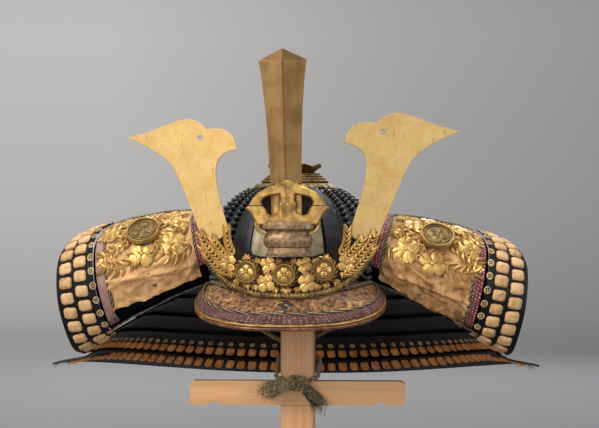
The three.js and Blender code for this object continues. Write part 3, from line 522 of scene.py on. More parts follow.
def strands(name, paths, radius):
    """Many thin threads in one mesh, each three-sided along its own points and pointed at its end."""
    corners, faces, sides = [], [], 3
    for path in paths:
        start = len(corners)
        for i, place in enumerate(path):
            along = (Vector(path[min(i + 1, len(path) - 1)]) - Vector(path[max(i - 1, 0)])).normalized()
            one = along.orthogonal().normalized()
            other = along.cross(one)
            r = radius * (1 - 0.6 * (i / (len(path) - 1)) ** 3)
            for k in range(sides):
                a = 2 * math.pi * k / sides
                corners.append((Vector(place) + one * r * math.cos(a) + other * r * math.sin(a)) * MM)
        for i in range(len(path) - 1):
            for k in range(sides):
                a, b = start + i * sides + k, start + i * sides + (k + 1) % sides
                faces.append((a, b, b + sides, a + sides))
        end = start + (len(path) - 1) * sides
        faces.append(tuple(start + k for k in reversed(range(sides))))
        faces.append(tuple(end + k for k in range(sides)))
    return drawn(name, corners, faces)


TASSELS = {  # the middle line of each tassel, and its radius where it starts and ends
    "left": ([(-2, -34, 163), (-12, -34.5, 160), (-24, -34, 154), (-32, -33, 150)], 5, 12.5),
    "right": ([(9, -34.5, 158), (17, -34, 152), (27, -32, 141), (31, -31, 132)], 4.5, 10.5),
}
TASSEL_THREADS, THREAD_STEPS = 190, 6
for label, (middle, root_radius, end_radius) in TASSELS.items():
    paths = []
    for k in range(TASSEL_THREADS):
        a = random.uniform(0, 2 * math.pi)
        reach, long = random.random() ** 0.6, random.uniform(0.55, 1.0)
        path = []
        for i in range(THREAD_STEPS + 1):
            p = through(middle, long * i / THREAD_STEPS)
            r = mix(root_radius, end_radius, long * i / THREAD_STEPS) * reach
            swirl = a + 0.6 * math.sin(2.4 * i + k)
            x, z = r * math.cos(swirl), r * math.sin(swirl)
            path.append((p.x + x, p.y + 0.5 * z, p.z + z))
        paths.append(path)
    tassel = strands(f"cord_tassel_{label}", paths, 0.55)
    done(tassel, silk.material, "silk_cord", f"chin_cord_tassel_{label}", angle=60)

# The knot is two loops laid over each other, each swinging in and out as it goes round.
KNOT, KNOT_STEPS = (STAND_X + 1, -28, 161), 120
wraps = []
for reach, swing, turns, tilt in ((6.2, 3.2, 3, 0.0), (5.2, 3.8, 5, 0.9)):
    winding = []
    for i in range(KNOT_STEPS):
        a = 4 * math.pi * i / KNOT_STEPS
        r = reach + swing * math.cos(turns * a / 2)
        winding.append((KNOT[0] + 1.3 * r * math.cos(a + tilt), KNOT[1] - 2.6 * math.sin(turns * a / 2),
                        KNOT[2] + 0.8 * r * math.sin(a + tilt)))
    wraps.append(tube("wrap", winding, 2.3, around=9, closed=True, lobes=3, twist=math.pi * 18 / KNOT_STEPS))
knot = join("cord_knot", wraps)
done(knot, silk.material, "silk_cord", "chin_cord_knot", angle=60)

CORD_RING, CORD_RING_RADIUS, RING_WIRE = (88.2, -14, 262.2), 6, 1.3
for label, route in CORD_ROUTES.items():
    points = [Vector((x + STAND_X * min(i / 4, 1), y, z)) for i, (x, y, z) in enumerate(route)]
    line = even(points, 110)
    cord = tube(f"chin_cord_{label}_braid", line, CORD_DIAMETER / 2, around=12, lobes=3, twist=0.45,
                depth=0.2)
    done(cord, silk.material, "silk_cord", f"chin_cord_{label}", angle=60)
    x, y, z = CORD_RING
    bpy.ops.object.select_all(action="DESELECT")
    bpy.ops.mesh.primitive_torus_add(location=Vector((-x if label == "left" else x, y, z)) * MM,
                                     rotation=(0, math.pi / 2, 0), major_segments=40, minor_segments=12,
                                     major_radius=CORD_RING_RADIUS * MM, minor_radius=RING_WIRE * MM)
    ring = bpy.context.active_object
    ring.name = ring.data.name = f"cord_ring_{label}_wire"
    done(ring, gold_old, "gilt_dark", f"cord_ring_{label}")
    print(f"cord {label}: {span(line):.0f} mm")

# %% [markdown]
# ## Floor and light
# A pale sheet sweeps up far behind the helmet, so that no horizon shows. Its colour carries painted
# light and shade: paler to the left, darker to the right and towards the front, as under one window.
# A wide soft lamp stands high on the left, and weaker ones on the right, overhead, low in front and
# behind, which gives the gold long soft highlights and leaves the hollow under the guard in shade.

# %% Stage
FLOOR_FRONT, FLOOR_BACK, SHEET_END, SWEEP_RADIUS, SHEET_HALF = -7000, 4500, 9500, 1500, 6500


def sweep(u, v):
    """The sheet runs flat to FLOOR_BACK, then round a quarter circle and straight up."""
    along = mix(FLOOR_FRONT, SHEET_END, v)
    bend = max(along - FLOOR_BACK, 0)
    turn = min(bend / SWEEP_RADIUS, math.pi / 2)
    y = min(along, FLOOR_BACK) + SWEEP_RADIUS * math.sin(turn)
    z = SWEEP_RADIUS * (1 - math.cos(turn)) + max(bend - SWEEP_RADIUS * math.pi / 2, 0)
    return mix(-SHEET_HALF, SHEET_HALF, u), y, z


backdrop = skin("backdrop", sweep, 4, 60)
only(backdrop)
bpy.ops.object.shade_smooth()
paper = Finish("paper", "#b9babc", roughness=0.9)
# Painted light and shade: the paper is paler to the left, and darker to the right, towards the front and low
# on the sheet.
deep = paper.split(paper.place(), "Y")
far_off = paper.maths("ADD", deep, CAMERA_DISTANCE / MM)
fan_out = paper.maths("DIVIDE", paper.split(paper.place(), "X"), far_off)
FAN_HALF = 0.13
shade = paper.remap(fan_out, -FAN_HALF, FAN_HALF, 0, 1)
painted_side_light = paper.tone(shade, (0.0, "#ffffff"), (0.5, "#dededf"), (1.0, "#c6c5c8"))
painted_front_shade = paper.remap(deep, 1000, 5500, 0.55, 0.0)
low = paper.remap(paper.split(paper.place(), "Z"), 0, 1000, 0.27, 0.0)
paper.colour(paper.blend(paper.maths("ADD", painted_front_shade, low), painted_side_light, "#4a4a4b"))
backdrop.data.materials.append(paper.material)

world = bpy.data.worlds.new("studio")
bpy.context.scene.world = world
world.use_nodes = True
world.node_tree.nodes["Background"].inputs["Color"].default_value = paint("#d6d5d3")
world.node_tree.nodes["Background"].inputs["Strength"].default_value = 0.72
bpy.context.scene.view_settings.view_transform = "Standard"
LAMPS = {  # where it stands and what it points at, in metres, then its width, watts and tint
    "key": ((-1.5, -1.9, 1.9), (0, 0, 0.35), 1.4, 52, "#fff8f0"),
    "fill": ((1.9, -1.6, 0.9), (0, 0, 0.3), 1.2, 14, "#f2f5ff"),
    "top": ((0.1, 0.2, 2.2), (0, 0, 0.3), 1.4, 22, "#ffffff"),
    "low": ((-0.5, -2.4, 0.2), (0, 0, 0.25), 1.0, 11, "#fff4e8"),
    "back": ((0.6, 2.4, 1.6), (0, 0, 0.3), 1.2, 22, "#f4f6ff"),
}
for name, (place, aim, width, watts, tint) in LAMPS.items():
    light = bpy.data.lights.new(name, "AREA")
    light.size, light.energy, light.color = width, watts, paint(tint)[:3]
    lamp = bpy.data.objects.new(name, light)
    bpy.context.scene.collection.objects.link(lamp)
    lamp.location = place
    lamp.rotation_euler = (Vector(aim) - Vector(place)).to_track_quat("-Z", "Y").to_euler()
print("lamps:", ", ".join(LAMPS))

# %% [markdown]
# ## Wooden stand
# The post and bar are plain softwood with eased edges. Wood grain is noise stretched far along the
# board, so the post's runs up and the bar's runs across. The solids are shown as they are, and only
# get their finish here.

# %% Stand
def wood(name, stretch, light, dark):
    made = Finish(name, light, roughness=0.5, coat_weight=0.08, coat_roughness=0.35)
    along = made.place(stretch)
    grain = made.noise(1.6, 6, 0.62, along, 0.3)
    wide = made.noise(9, 3, 0.5, along, 0.8)
    body = made.tone(grain, (0.2, dark), (0.45, light), (0.75, "#d9b48a"))
    body = made.blend(made.remap(wide, 0.45, 0.7, 0, 0.55), body, dark)
    made.colour(body).rough(grain, 0.62, 0.42)
    made.relief(grain, 0.12)
    return made.material


post_wood = wood("post_wood", (1, 1, 0.02), "#e0a775", "#c28757")
bar_wood = wood("bar_wood", (0.03, 1, 1), "#e6b27c", "#c6925f")
STAND_WOOD = {"stand_post": post_wood, "stand_crossbar": bar_wood, "stand_base": bar_wood,
              "stand_head": post_wood}
for node, finish in STAND_WOOD.items():
    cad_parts[node].data.materials.clear()
    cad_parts[node].data.materials.append(finish)
print("stand finished")

# %% [markdown]
# ## The bowl
# Twenty-eight iron plates overlap round the bowl. Each has one edge raised where it lies over the next
# plate, and a row of tall studs that shrink and crowd together towards the crown. The skin is a grid
# bent round the profile, and the studs are one small dome copied along every plate.

# %% Bowl shape
BOWL_PROFILE = [(98, 0, 264), (98, 0, 285), (96, 0, 305), (92, 0, 324), (85.5, 0, 341),
                (76, 0, 355.5), (64, 0, 367), (50, 0, 376), (34, 0, 383), (14, 0, 387.5)]
BOWL_DEPTH, PLATES, BOWL_WALL, BOWL_STEPS = 1.143, 28, 2.2, 200
bowl_line = even(BOWL_PROFILE, BOWL_STEPS)


def bowl(along, degrees, lift=0.0):
    """A place on the bowl: along runs from its foot to the crown, degrees run round it from the brow."""
    x = min(max(along, 0), 1) * BOWL_STEPS
    i = min(int(x), BOWL_STEPS - 1)
    p = bowl_line[i].lerp(bowl_line[i + 1], x - i)
    slope = (bowl_line[min(i + 1, BOWL_STEPS)] - bowl_line[max(i - 1, 0)]).normalized()
    r, z, a = p.x + slope.z * lift, p.z - slope.x * lift, math.radians(degrees)
    return Vector((r * math.sin(a), -r * BOWL_DEPTH * math.cos(a), z))


def seat(place, out, size=1.0, along=(0, 0, 1)):
    """The matrix that puts a copy at place, its Z turned out and its X along, size times as large."""
    z = Vector(out).normalized()
    x = Vector(along) - z * z.dot(Vector(along))
    x = x.normalized() if x.length > 1e-4 else z.orthogonal().normalized()
    turn = Matrix((x, z.cross(x), z)).transposed().to_4x4()
    sizes = size if isinstance(size, (tuple, list)) else (size, size, size)
    return Matrix.Translation(Vector(place) * MM) @ turn @ Matrix.Diagonal((*sizes, 1))


def plate_crown(degrees, along):
    """How far a plate rises over the bowl's form: crowned, with a flange along one edge."""
    part = (degrees * PLATES / 360) % 1
    flange = 1.5 * max(0, 1 - part / 0.12)
    return (0.9 * (1 - abs(2 * part - 1) ** 3) - 0.3 + flange) * smooth((0.94 - along) / 0.06)


lacquer_iron = Finish("lacquered_iron", "#0c0d10", metallic=0.3, roughness=0.22, coat_weight=0.5)
shine = lacquer_iron.noise(6, 4)
dust = lacquer_iron.noise(18, 5, 0.65)
lacquer_iron.colour(lacquer_iron.tone(dust, (0.35, "#07080a"), (0.6, "#131519"), (0.8, "#2a2622")))
lacquer_iron.rough(shine, 0.16, 0.36).relief(shine, 0.12)

shell = skin("bowl_shell", lambda u, v: bowl(v, 360 * u, plate_crown(360 * u, v)), PLATES * 10, 26)
merge(shell)
wall(shell, BOWL_WALL)
done(shell, lacquer_iron.material, "black_iron", "helmet_bowl")

# %% Studs
bpy.ops.object.select_all(action="DESELECT")
bpy.ops.mesh.primitive_uv_sphere_add(segments=8, ring_count=6, radius=MM)
dome = bpy.context.active_object
bpy.ops.object.mode_set(mode="EDIT")
bpy.ops.mesh.select_all(action="SELECT")
bpy.ops.mesh.bisect(plane_co=(0, 0, -0.0001), plane_no=(0, 0, 1), clear_inner=True, use_fill=True)
bpy.ops.object.mode_set(mode="OBJECT")
STUDS, FIRST_STUD, STUD_STEP, STUD_SHRINK = 17, 0.06, 11, 0.943
LOW_STUD, HIGH_STUD, STUD_HEIGHT = 4.4, 2.8, 1.5
FRONT_PLATES = 2.9  # plates on each side of the brow that have no studs
bowl_length = span(bowl_line)
places = []
for plate in range(PLATES):
    degrees = (plate + 0.55) * 360 / PLATES
    if min(degrees, 360 - degrees) < FRONT_PLATES * 360 / PLATES:
        continue
    along, step = FIRST_STUD, STUD_STEP / bowl_length
    for k in range(STUDS):
        foot, top = bowl(along, degrees, 0.4), bowl(along, degrees, 3)
        size = mix(LOW_STUD, HIGH_STUD, k / STUDS)
        places.append(seat(foot, top - foot, (size, size, size * STUD_HEIGHT)))
        along, step = along + step, step * STUD_SHRINK
studs = repeat("bowl_studs", dome, places)
done(studs, lacquer_iron.material, "black_iron", angle=80)

# %% [markdown]
# ## Front plate and crown
# A silvered plate with three raised ribs covers the seam over the brow, between two smooth grey ones.
# Round the hole in the crown lies a gilt skirt of petals, then rope rings stepped like a cone, and a
# cup of pointed petals stands on top. The skirt follows the bowl, so it is bent over the same profile.

# %% Front plates
FRONT_HALF, SIDE_FROM, SIDE_TO = 24, 25.5, 36.5  # degrees round the bowl from the middle of the brow


def front_plate(u, v):
    half = mix(FRONT_HALF, FRONT_HALF * 0.86, v)
    place = abs((u * 3) % 1 - 0.5)
    rib = max(0, 1 - (place * 4.2) ** 2) if 0.06 < u < 0.94 else 0
    end = smooth((0.93 - v) / 0.07)
    edge = 0.6 if u < 0.03 or u > 0.97 else 0
    return bowl(mix(0.13, 0.85, v), mix(-half, half, u), 2.0 + 1.6 * rib * end * (1 - 0.45 * v) + edge)


plate = wall(skin("front_plate", front_plate, 60, 20), 1.4)
done(plate, silver, "silvered", "bowl_front_plate")
grey_iron = Finish("grey_iron", "#32353d", metallic=0.3, roughness=0.5)
grey = grey_iron.noise(16, 5, 0.6)
grey_iron.colour(grey_iron.tone(grey, (0.35, "#1e2026"), (0.55, "#32353d"), (0.8, "#4a4a4e")))
grey_iron.rough(grey, 0.42, 0.6)
for label, side in (("left", -1), ("right", 1)):
    def side_plate(u, v):
        edge = 0.7 if abs(u - 0.5) > 0.46 else 0
        crown = 0.9 * math.sin(math.pi * u)
        return bowl(mix(0.1, 0.82, v), side * mix(SIDE_FROM, SIDE_TO, u), 1.5 + crown + edge)
    piece = skin(f"side_plate_{label}", side_plate, 20, 16)
    if side < 0:
        flip(piece)
    done(wall(piece, 1.2), grey_iron.material, "black_iron")

# %% Crown
CROWN_STEPS = [(15, 388), (15, 397), (21, 397), (25, 396), (26, 394.6), (28, 393.6), (29, 392),
               (31, 391.2), (32, 389.6), (34, 388.6), (35, 386.6), (37, 385.4), (37, 382), (30, 383),
               (20, 386.5), (15, 388)]
SKIRT_PETALS = 22
ROPES = [(27, 394.4, 1.5), (29.6, 392.2, 1.6), (32.8, 389.4, 1.8), (36, 386.4, 1.9)]


def skirt(u, v):
    lobe = abs(math.cos(math.pi * SKIRT_PETALS * u)) ** 0.6
    along = mix(0.795 + 0.016 * (1 - lobe), 0.9, v)
    bead = 0.5 * math.sin(2 * math.pi * v) * lobe
    return bowl(along, 360 * u, 1.9 + 1.4 * lobe * math.sin(math.pi * min(v * 1.2, 1)) + bead)


ROPE_STEPS, ROPE_TURNS = 180, 60
crown = [spun("crown_steps", CROWN_STEPS, 72)]
crown.append(wall(merge(skin("crown_skirt", skirt, SKIRT_PETALS * 8, 10)), 1.2))
for radius, height, thick in ROPES:
    angles = [2 * math.pi * i / ROPE_STEPS for i in range(ROPE_STEPS)]
    circle = [(radius * math.cos(a), radius * math.sin(a), height) for a in angles]
    crown.append(tube("rope", circle, thick, around=8, closed=True, lobes=2,
                      twist=math.pi * ROPE_TURNS / ROPE_STEPS, depth=0.5))
done(join("crown_mount_rings", crown), crown_bronze, "gilt_dark", "crown_mount", angle=50)


CUP_RADIUS, CUP_FLARE, CUP_FOOT, CUP_HEIGHT, CUP_PETALS = 20.5, 9, 395.6, 7.6, 8


def petal_cup(u, v):
    a, r = 2 * math.pi * u, CUP_RADIUS + CUP_FLARE * v**1.5
    tip = 1 - abs((CUP_PETALS * u) % 1 - 0.5) * 2
    r += 1.4 * tip * v
    return r * math.cos(a), r * math.sin(a), CUP_FOOT + CUP_HEIGHT * v + 3.4 * tip * v**2


cup = merge(skin("crown_petals", petal_cup, 128, 8))
wall(cup, 1.1, 0)
done(cup, crown_bronze, "gilt_dark", "crown_flower")

# %% [markdown]
# ## Visor
# The brow plate is covered with printed deer leather: a brown panel with gold scrolls, a twisted
# braid right round it, a brownish red border with pale dots, a gilt rim and a red lacquered edge below.
# The plate is one sheet bent between the curve where it leaves the bowl and the curve of its rim.

# %% Visor
VISOR_ROWS = [(0, 269, 0, -164, 232), (17, 269.5, 48, -156, 233.5), (31, 271, 82, -134, 239.5),
              (43, 273.5, 97.5, -110, 248), (52, 275, 100.5, -88, 258), (58, 276, 96, -70, 268)]
VISOR_WALL, VISOR_CROWN, RIM_RADIUS, VISOR_RIGHT = 3, 3, 2.6, 1.028
mirrored = [(-a, z, -x, y, rz) for a, z, x, y, rz in reversed(VISOR_ROWS[1:])] + VISOR_ROWS
visor_rim = [(x, y, z) for a, rz, x, y, z in mirrored]
visor_root = []
for degrees, z, *_ in mirrored:
    a, r = math.radians(degrees), BOWL_PROFILE[0][0] + 2.4
    visor_root.append((r * math.sin(a), -r * BOWL_DEPTH * math.cos(a), z))


def visor(u, v, lift=0.0):
    """A place on the visor: u runs round its edge, v from the bowl to the rim."""
    p = through(visor_root, u).lerp(through(visor_rim, u), v)
    p.z += VISOR_CROWN * 4 * v * (1 - v) + lift
    p.x *= VISOR_RIGHT if p.x > 0 else 1
    return p


def leather(name, light, mid, dark, print_colour, size, stains):
    """Stained hide with a worn printed scroll. size and stains are the scroll's and the stains' widths."""
    made = Finish(name, mid, roughness=0.75)
    stain = made.noise(stains, 5, 0.6)
    body = made.tone(stain, (0.34, dark), (0.48, mid), (0.66, light))
    wander = made.node("TexNoise", "Color", {"Vector": made.place(), "Scale": 0.12, "Detail": 2.0})
    swirl = made.cells(size, made.blend(0.35, made.place(), wander), "DISTANCE_TO_EDGE")
    lines = made.remap(swirl, 0.03, 0.08, 0.75, 0)
    worn = made.remap(made.noise(11, 3), 0.45, 0.6)
    body = made.blend(made.maths("MULTIPLY", lines, worn), body, print_colour)
    grain = made.noise(0.9, 4, 0.7)
    body = made.blend(made.remap(grain, 0.58, 0.8, 0, 0.4), body, dark)
    made.body = body
    made.colour(body).rough(grain, 0.55, 0.8)
    made.relief(made.noise(5, 4, 0.6), 0.5).relief(grain, 0.18)
    return made


visor_leather = leather("visor_leather", "#a87a4e", "#6e4a2e", "#22140f", "#c89c58", 9, 5)


def dotted(name, ground, faded, dots, lengthwise, crosswise, charred=None):
    """Dyed leather with rows of small reserved dots, and one charred place if the strip has one."""
    made = Finish(name, ground, roughness=0.75, specular_ior_level=0.3)
    place = made.place((lengthwise, crosswise, 1), uv=True)
    cell = made.node("VectorMath", 0, {0: place}, operation="FRACTION")
    off = made.node("VectorMath", 0, {0: cell, 1: (0.5, 0.5, 0)}, operation="SUBTRACT")
    far = made.node("VectorMath", "Value", {0: off}, operation="LENGTH")
    spot = made.remap(far, 0.22, 0.34, 0.9, 0)
    body = made.tone(made.noise(12, 5, 0.6), (0.35, ground), (0.7, faded))
    worn = made.maths("MULTIPLY", spot, made.remap(made.noise(5, 4), 0.42, 0.56, 0.1, 0.95))
    body = made.blend(worn, body, dots)
    if charred:
        off = made.node("VectorMath", "Value", {0: made.place(), 1: charred}, operation="DISTANCE")
        body = made.blend(made.remap(off, 11, 19, 0.92, 0), body, "#1e1613")
    made.colour(body).relief(made.noise(1.2, 3), 0.2)
    return made.material


border_leather = dotted("border_leather", "#3a2522", "#604640", "#ac7672", 250, 5)
red_lacquer = Finish("red_lacquer", "#6e2a2c", roughness=0.35, coat_weight=0.3)
red_wear = red_lacquer.noise(9, 4)
red_lacquer.colour(red_lacquer.tone(red_wear, (0.35, "#43200f"), (0.52, "#6f3a1e"), (0.7, "#946c3e")))

plate = wall(skin("visor_plate", visor, 90, 14), VISOR_WALL, 1)
done(plate, visor_leather.material, "brown_leather", "visor")


def visor_loop(turn, high, wide, squareness):
    """A place on a rounded panel's edge, turn running once round it."""
    x = math.cos(2 * math.pi * turn)
    y = max(1 - abs(x) ** squareness, 0) ** 0.5 * (1 if turn < 0.5 else -1)
    return 0.5 + wide * x, 0.5 + high * y


PANEL_EDGE, BORDER_EDGE = (0.3, 0.447, 7), (0.485, 0.49, 24)


def border(u, v):
    inner, outer = visor_loop(u % 1, *PANEL_EDGE), visor_loop(u % 1, *BORDER_EDGE)
    return visor(mix(inner[0], outer[0], v), mix(inner[1], outer[1], v), 0.7 + 0.8 * math.sin(math.pi * v))


strip = wall(merge(skin("visor_border", border, 240, 6)), 1.0, 0)
done(strip, border_leather, "red_leather")

braid_silk = Finish("braid_silk", "#2a2622", roughness=0.8)
turns = braid_silk.split(braid_silk.place(uv=True), "X")
runs = braid_silk.split(braid_silk.place(uv=True), "Y")
turns = braid_silk.maths("MULTIPLY", turns, 3.0)
wind = braid_silk.maths("ADD", turns, braid_silk.maths("MULTIPLY", runs, 60.0))
BRAID_TONES = [(0.0, "#1b1a1c"), (0.3, "#1b1a1c"), (0.42, "#a8956c"), (0.54, "#c4b48c"), (0.64, "#4c5a3a"),
               (0.9, "#22241c")]
braid_silk.colour(braid_silk.tone(braid_silk.maths("FRACT", wind), *BRAID_TONES))
BRAID_STEPS, BRAID_TURNS = 300, 150
rope = [visor(*visor_loop(i / BRAID_STEPS, *PANEL_EDGE), 1.9) for i in range(BRAID_STEPS)]
braid = tube("visor_braid", rope, 1.4, around=8, closed=True, lobes=2,
             twist=math.pi * BRAID_TURNS / BRAID_STEPS, depth=0.35)
done(braid, braid_silk.material, "silk_cord", angle=60)

rim_line, lacquer_line, RIM_STEPS = [], [], 160
for i in range(RIM_STEPS + 1):
    u = i / RIM_STEPS
    outward = (visor(u, 1) - visor(u, 0.9)).normalized()
    rim_line.append(visor(u, 1) + outward * (RIM_RADIUS - 0.4) + Vector((0, 0, 0.4)))
    lacquer_line.append(visor(u, 1) + outward * (RIM_RADIUS - 1.2) + Vector((0, 0, -3.4)))
done(tube("visor_rim_bar", rim_line, 1.1, around=12), gold_old, "gilt", "visor_rim", angle=60)
done(tube("visor_lacquer_edge", lacquer_line, 2.1, around=12), red_lacquer.material, "gilt", angle=60)


def on_visor(u, v, lift, size):
    """The matrix for a copy that sits on the visor."""
    foot = visor(u, v, lift)
    normal = (visor(u + 0.01, v) - visor(u - 0.01, v)).cross(visor(u, v - 0.01) - visor(u, v + 0.01))
    return seat(foot, normal if normal.z > 0 else -normal, size)


rivets = [on_visor(u, 0.71, 0.1, (1.7, 1.7, 1.4)) for u in (0.41, 0.5, 0.59)]
CLIP_LOBES = [(0.487, 0.52, 3.3), (0.513, 0.52, 3.3), (0.5, 0.6, 3.4), (0.5, 0.44, 3.8)]
clip = [on_visor(u, v, 0.0, (size, size, 0.9)) for u, v, size in CLIP_LOBES]
done(repeat("visor_rivets", dome, rivets + clip), grey_iron.material, "gilt_dark", angle=80)

# %% [markdown]
# ## Holder of the crests
# The holder is a bent crescent of pierced gilt copper, crowded with leaf sprays, small flowers and
# three round bosses, over a ribbed lower rim. The leaves and flowers are laid out flat over a back
# plate, then everything is bent together, as a maker would form the finished sheet.

# %% Holder outline
HOLDER_FRONT, HOLDER_FOOT, HOLDER_BEND, HOLDER_LEAN = -130, 265, 240, 0.05
HOLDER_LOWER = [(0, 265), (41, 269), (67, 281.5), (86, 303), (94.5, 320), (97, 332)]
HOLDER_UPPER = [(64, 338), (59.5, 322), (47, 310), (28, 304.5), (0, 303.5)]


def holder(x, z, depth):
    """A place on the bent holder, depth millimetres behind its face."""
    y = HOLDER_FRONT + x * x / (2 * HOLDER_BEND) + (z - HOLDER_FOOT) * HOLDER_LEAN + depth
    return Vector((x, y, z))


HORN_GAP = [(90, 324), (80, 319), (71, 325)]
edge = HOLDER_LOWER + HORN_GAP + HOLDER_UPPER
flat_edge = edge + [(-x, z) for x, z in reversed(edge[1:-1])]
# The back plate is near black, as painted shade seen through the openwork.
back = cut_plate("holder_back", flat_edge, [], 1.2, 0.0, steps=2)
modify(back, "REMESH", mode="SHARP", octree_depth=7, use_remove_disconnected=False)
reshape(back, lambda x, y, z: holder(x, z, -0.7 + y))
done(back, shade_metal, "gilt", "crest_holder", angle=50)

# %% Leaves and flowers
def leaf_blade(length=10.0, width=2.9, rise=1.5, bow=0.26):
    """One leaf finger lying along X, its middle raised to a ridge and its tip bowed to the side."""
    def point(u, v):
        x = v * length * (1 - 0.12 * v)
        half = width / 2 * math.sin(math.pi * min(v * 0.9 + 0.1, 1)) ** 0.6
        y = (u - 0.5) * 2 * half + bow * length * v * v
        return x, y, rise * (1 - abs(u - 0.5) * 1.7) * (1 - 0.4 * v) + 0.2
    obj = skin("leaf", point, 4, 5)
    return modify(obj, "SOLIDIFY", thickness=0.9 * MM, offset=-1)


def petals(radius, count, rise, notch):
    """A ring of cupped petals, each grooved down its middle and notched at its tip."""
    def point(u, v):
        a = 2 * math.pi * u
        lobe = abs(math.cos(count * a / 2))
        r = radius * v * (0.55 + 0.45 * lobe**0.55 - notch * max(0, lobe - 0.93) / 0.07)
        groove = 0.3 * rise * max(0, lobe - 0.9) / 0.1 * math.sin(math.pi * v)
        cupped = rise * (0.35 + 0.75 * math.sin(math.pi * v**0.8) * lobe)
        return r * math.cos(a), r * math.sin(a), cupped - groove
    obj = merge(skin("petals", point, count * 10, 5))
    return modify(obj, "SOLIDIFY", thickness=1.0 * MM, offset=-1)


def bead(height, size):
    """A small dome standing at a height over the middle."""
    boss = dome.copy()
    boss.data = dome.data.copy()
    bpy.context.scene.collection.objects.link(boss)
    return move(boss, Matrix.Translation((0, 0, height * MM)) @ Matrix.Diagonal((*size, 1)))


def flat_place(x, y, turn, size, lift, hand=1):
    """The matrix for a copy laid out flat. With hand -1 it is the other way round."""
    return (Matrix.Translation(Vector((x, y, lift)) * MM) @ Matrix.Rotation(turn, 4, "Z")
            @ Matrix.Diagonal((size, size * hand, size, 1)))


def spray(route, every, size, open_angle, taper):
    """Pairs of leaves on both sides of a bowed stem. The route gives the stem's points in the flat."""
    flat = [Vector((x, y, 0)) for x, y in route]
    stem = even(flat, max(int(span(flat) / every), 2))
    made = []
    for i, p in enumerate(stem):
        along = stem[min(i + 1, len(stem) - 1)] - stem[max(i - 1, 0)]
        a = math.atan2(along.y, along.x)
        small = size * (1 - taper * i / len(stem))
        for hand in (1, -1):
            made.append((p.x, p.y, a + hand * open_angle, small, -hand))
    made.append((stem[-1].x, stem[-1].y, a, small, 1))
    return made


def fan(x, y, direction, count, spread, size):
    """Leaves fanned about a direction from one place."""
    made = []
    for k in range(count):
        share = (k / (count - 1) - 0.5) * 2
        small = size * (1 - 0.2 * abs(share))
        made.append((x, y, direction + spread * share, small, 1 if share < 0 else -1))
    return made


leaf = leaf_blade()
finger = leaf_blade(11.5, 2.7, 1.8, 0.42)
small_bloom = join("small_bloom", [petals(6.5, 4, 0.8, 0.07), bead(0.5, (1.1, 1.1, 0.9))])

# %% Relief of the holder
BOSSES = {"left": (-43, 287.7), "centre": (-1.8, 284.9), "right": (40.5, 290.1)}
BOSS_RADIUS = 12.3
ARM_STEMS = [[(70, 298), (79, 306), (87, 315), (93, 325)], [(58, 306), (62, 314), (64, 322), (65, 330)],
             [(62, 285), (73, 291), (83, 300), (91, 311)], [(63, 302), (70, 309), (76, 316), (79, 320)]]
HOLDER_FLOWERS = [(64.5, 297, 10.4), (22.5, 276, 10.8), (19.5, 295.6, 9.4)]
HOLDER_FANS = [(54, 277), (43, 273), (34, 272), (12, 269), (2, 268), (43, 303), (31, 299), (8, 299),
               (61, 285), (21, 286)]
BLOOM_RADIUS, WREATH_LEAVES = 6.5, 16
leaves, fingers, blooms = [], [], []
for side in (1, -1):
    for stem in ARM_STEMS:
        for x, z, a, size, hand in spray(stem, 4.6, 0.9, 0.84, 0.05):
            fingers.append(flat_place(side * x, z, a if side > 0 else math.pi - a, size, 0.1, hand * side))
    for x, z in HOLDER_FANS:
        up = math.pi / 2 if z > 290 else -math.pi / 2
        for x, z, a, size, hand in fan(x, z - 2 * math.sin(up), up, 5, 1.3, 0.7):
            leaves.append(flat_place(side * x, z, a if side > 0 else math.pi - a, size, 0.4, hand * side))
    for x, z, radius in HOLDER_FLOWERS:
        blooms.append(flat_place(side * x, z, 0.5 + x, radius / BLOOM_RADIUS, 0.8))
for x, z in BOSSES.values():
    for k in range(WREATH_LEAVES):
        a = 2 * math.pi * k / WREATH_LEAVES
        r = BOSS_RADIUS - 1
        fingers.append(flat_place(x + r * math.cos(a), z + r * math.sin(a), a + 0.7, 0.55, 0.1))
parts = ((leaf, leaves), (finger, fingers), (small_bloom, blooms))
relief = join("holder_relief", [repeat("relief", one, where) for one, where in parts])
reshape(relief, lambda x, y, z: holder(x, y, -1.4 - z))
merge(relief, 1e-7)
done(relief, gold_relief, "gilt", angle=50)


RIM_RIBS = 58
rim_half = [(x, z, 0) for x, z in HOLDER_LOWER[:4]]
rim_course = [(-x, z, 0) for x, z, _ in reversed(rim_half[1:])] + rim_half


def ribbed_rim(u, v):
    p, q = through(rim_course, min(max(u, 0.001), 0.999)), through(rim_course, min(u + 0.001, 1))
    away = Vector((q.y - p.y, -(q.x - p.x), 0)).normalized()
    ribs = abs(math.sin(math.pi * RIM_RIBS * u))
    a = math.pi * mix(-0.05, 1.05, v)
    out = 1.0 - 2.9 * math.cos(a)
    at = p + away * (2.2 + out)
    return holder(at.x, at.y, -(1.6 + ribs) * math.sin(a) - 0.6)


rim = wall(skin("holder_rim", ribbed_rim, 512, 8), 1.4, 0)
done(rim, crown_bronze, "gilt", angle=60)


# The profiles of a boss: shares of its radius, and heights in millimetres.
BOSS_GROUND = [(0, -1.6), (0.95, -1.6), (0.95, 0.2), (0, 0.5)]
BOSS_RING = [(0.68, 0), (0.69, 0.9), (0.72, 1.2), (0.75, 0.9), (0.76, 0), (0.68, 0)]
BOSS_RIM = [(0.85, 0), (0.85, 1.2), (0.88, 2), (0.92, 2), (0.94, 1.2), (0.98, 1.6), (1, 0.8), (1, -2),
            (0.98, -2), (0.85, 0)]


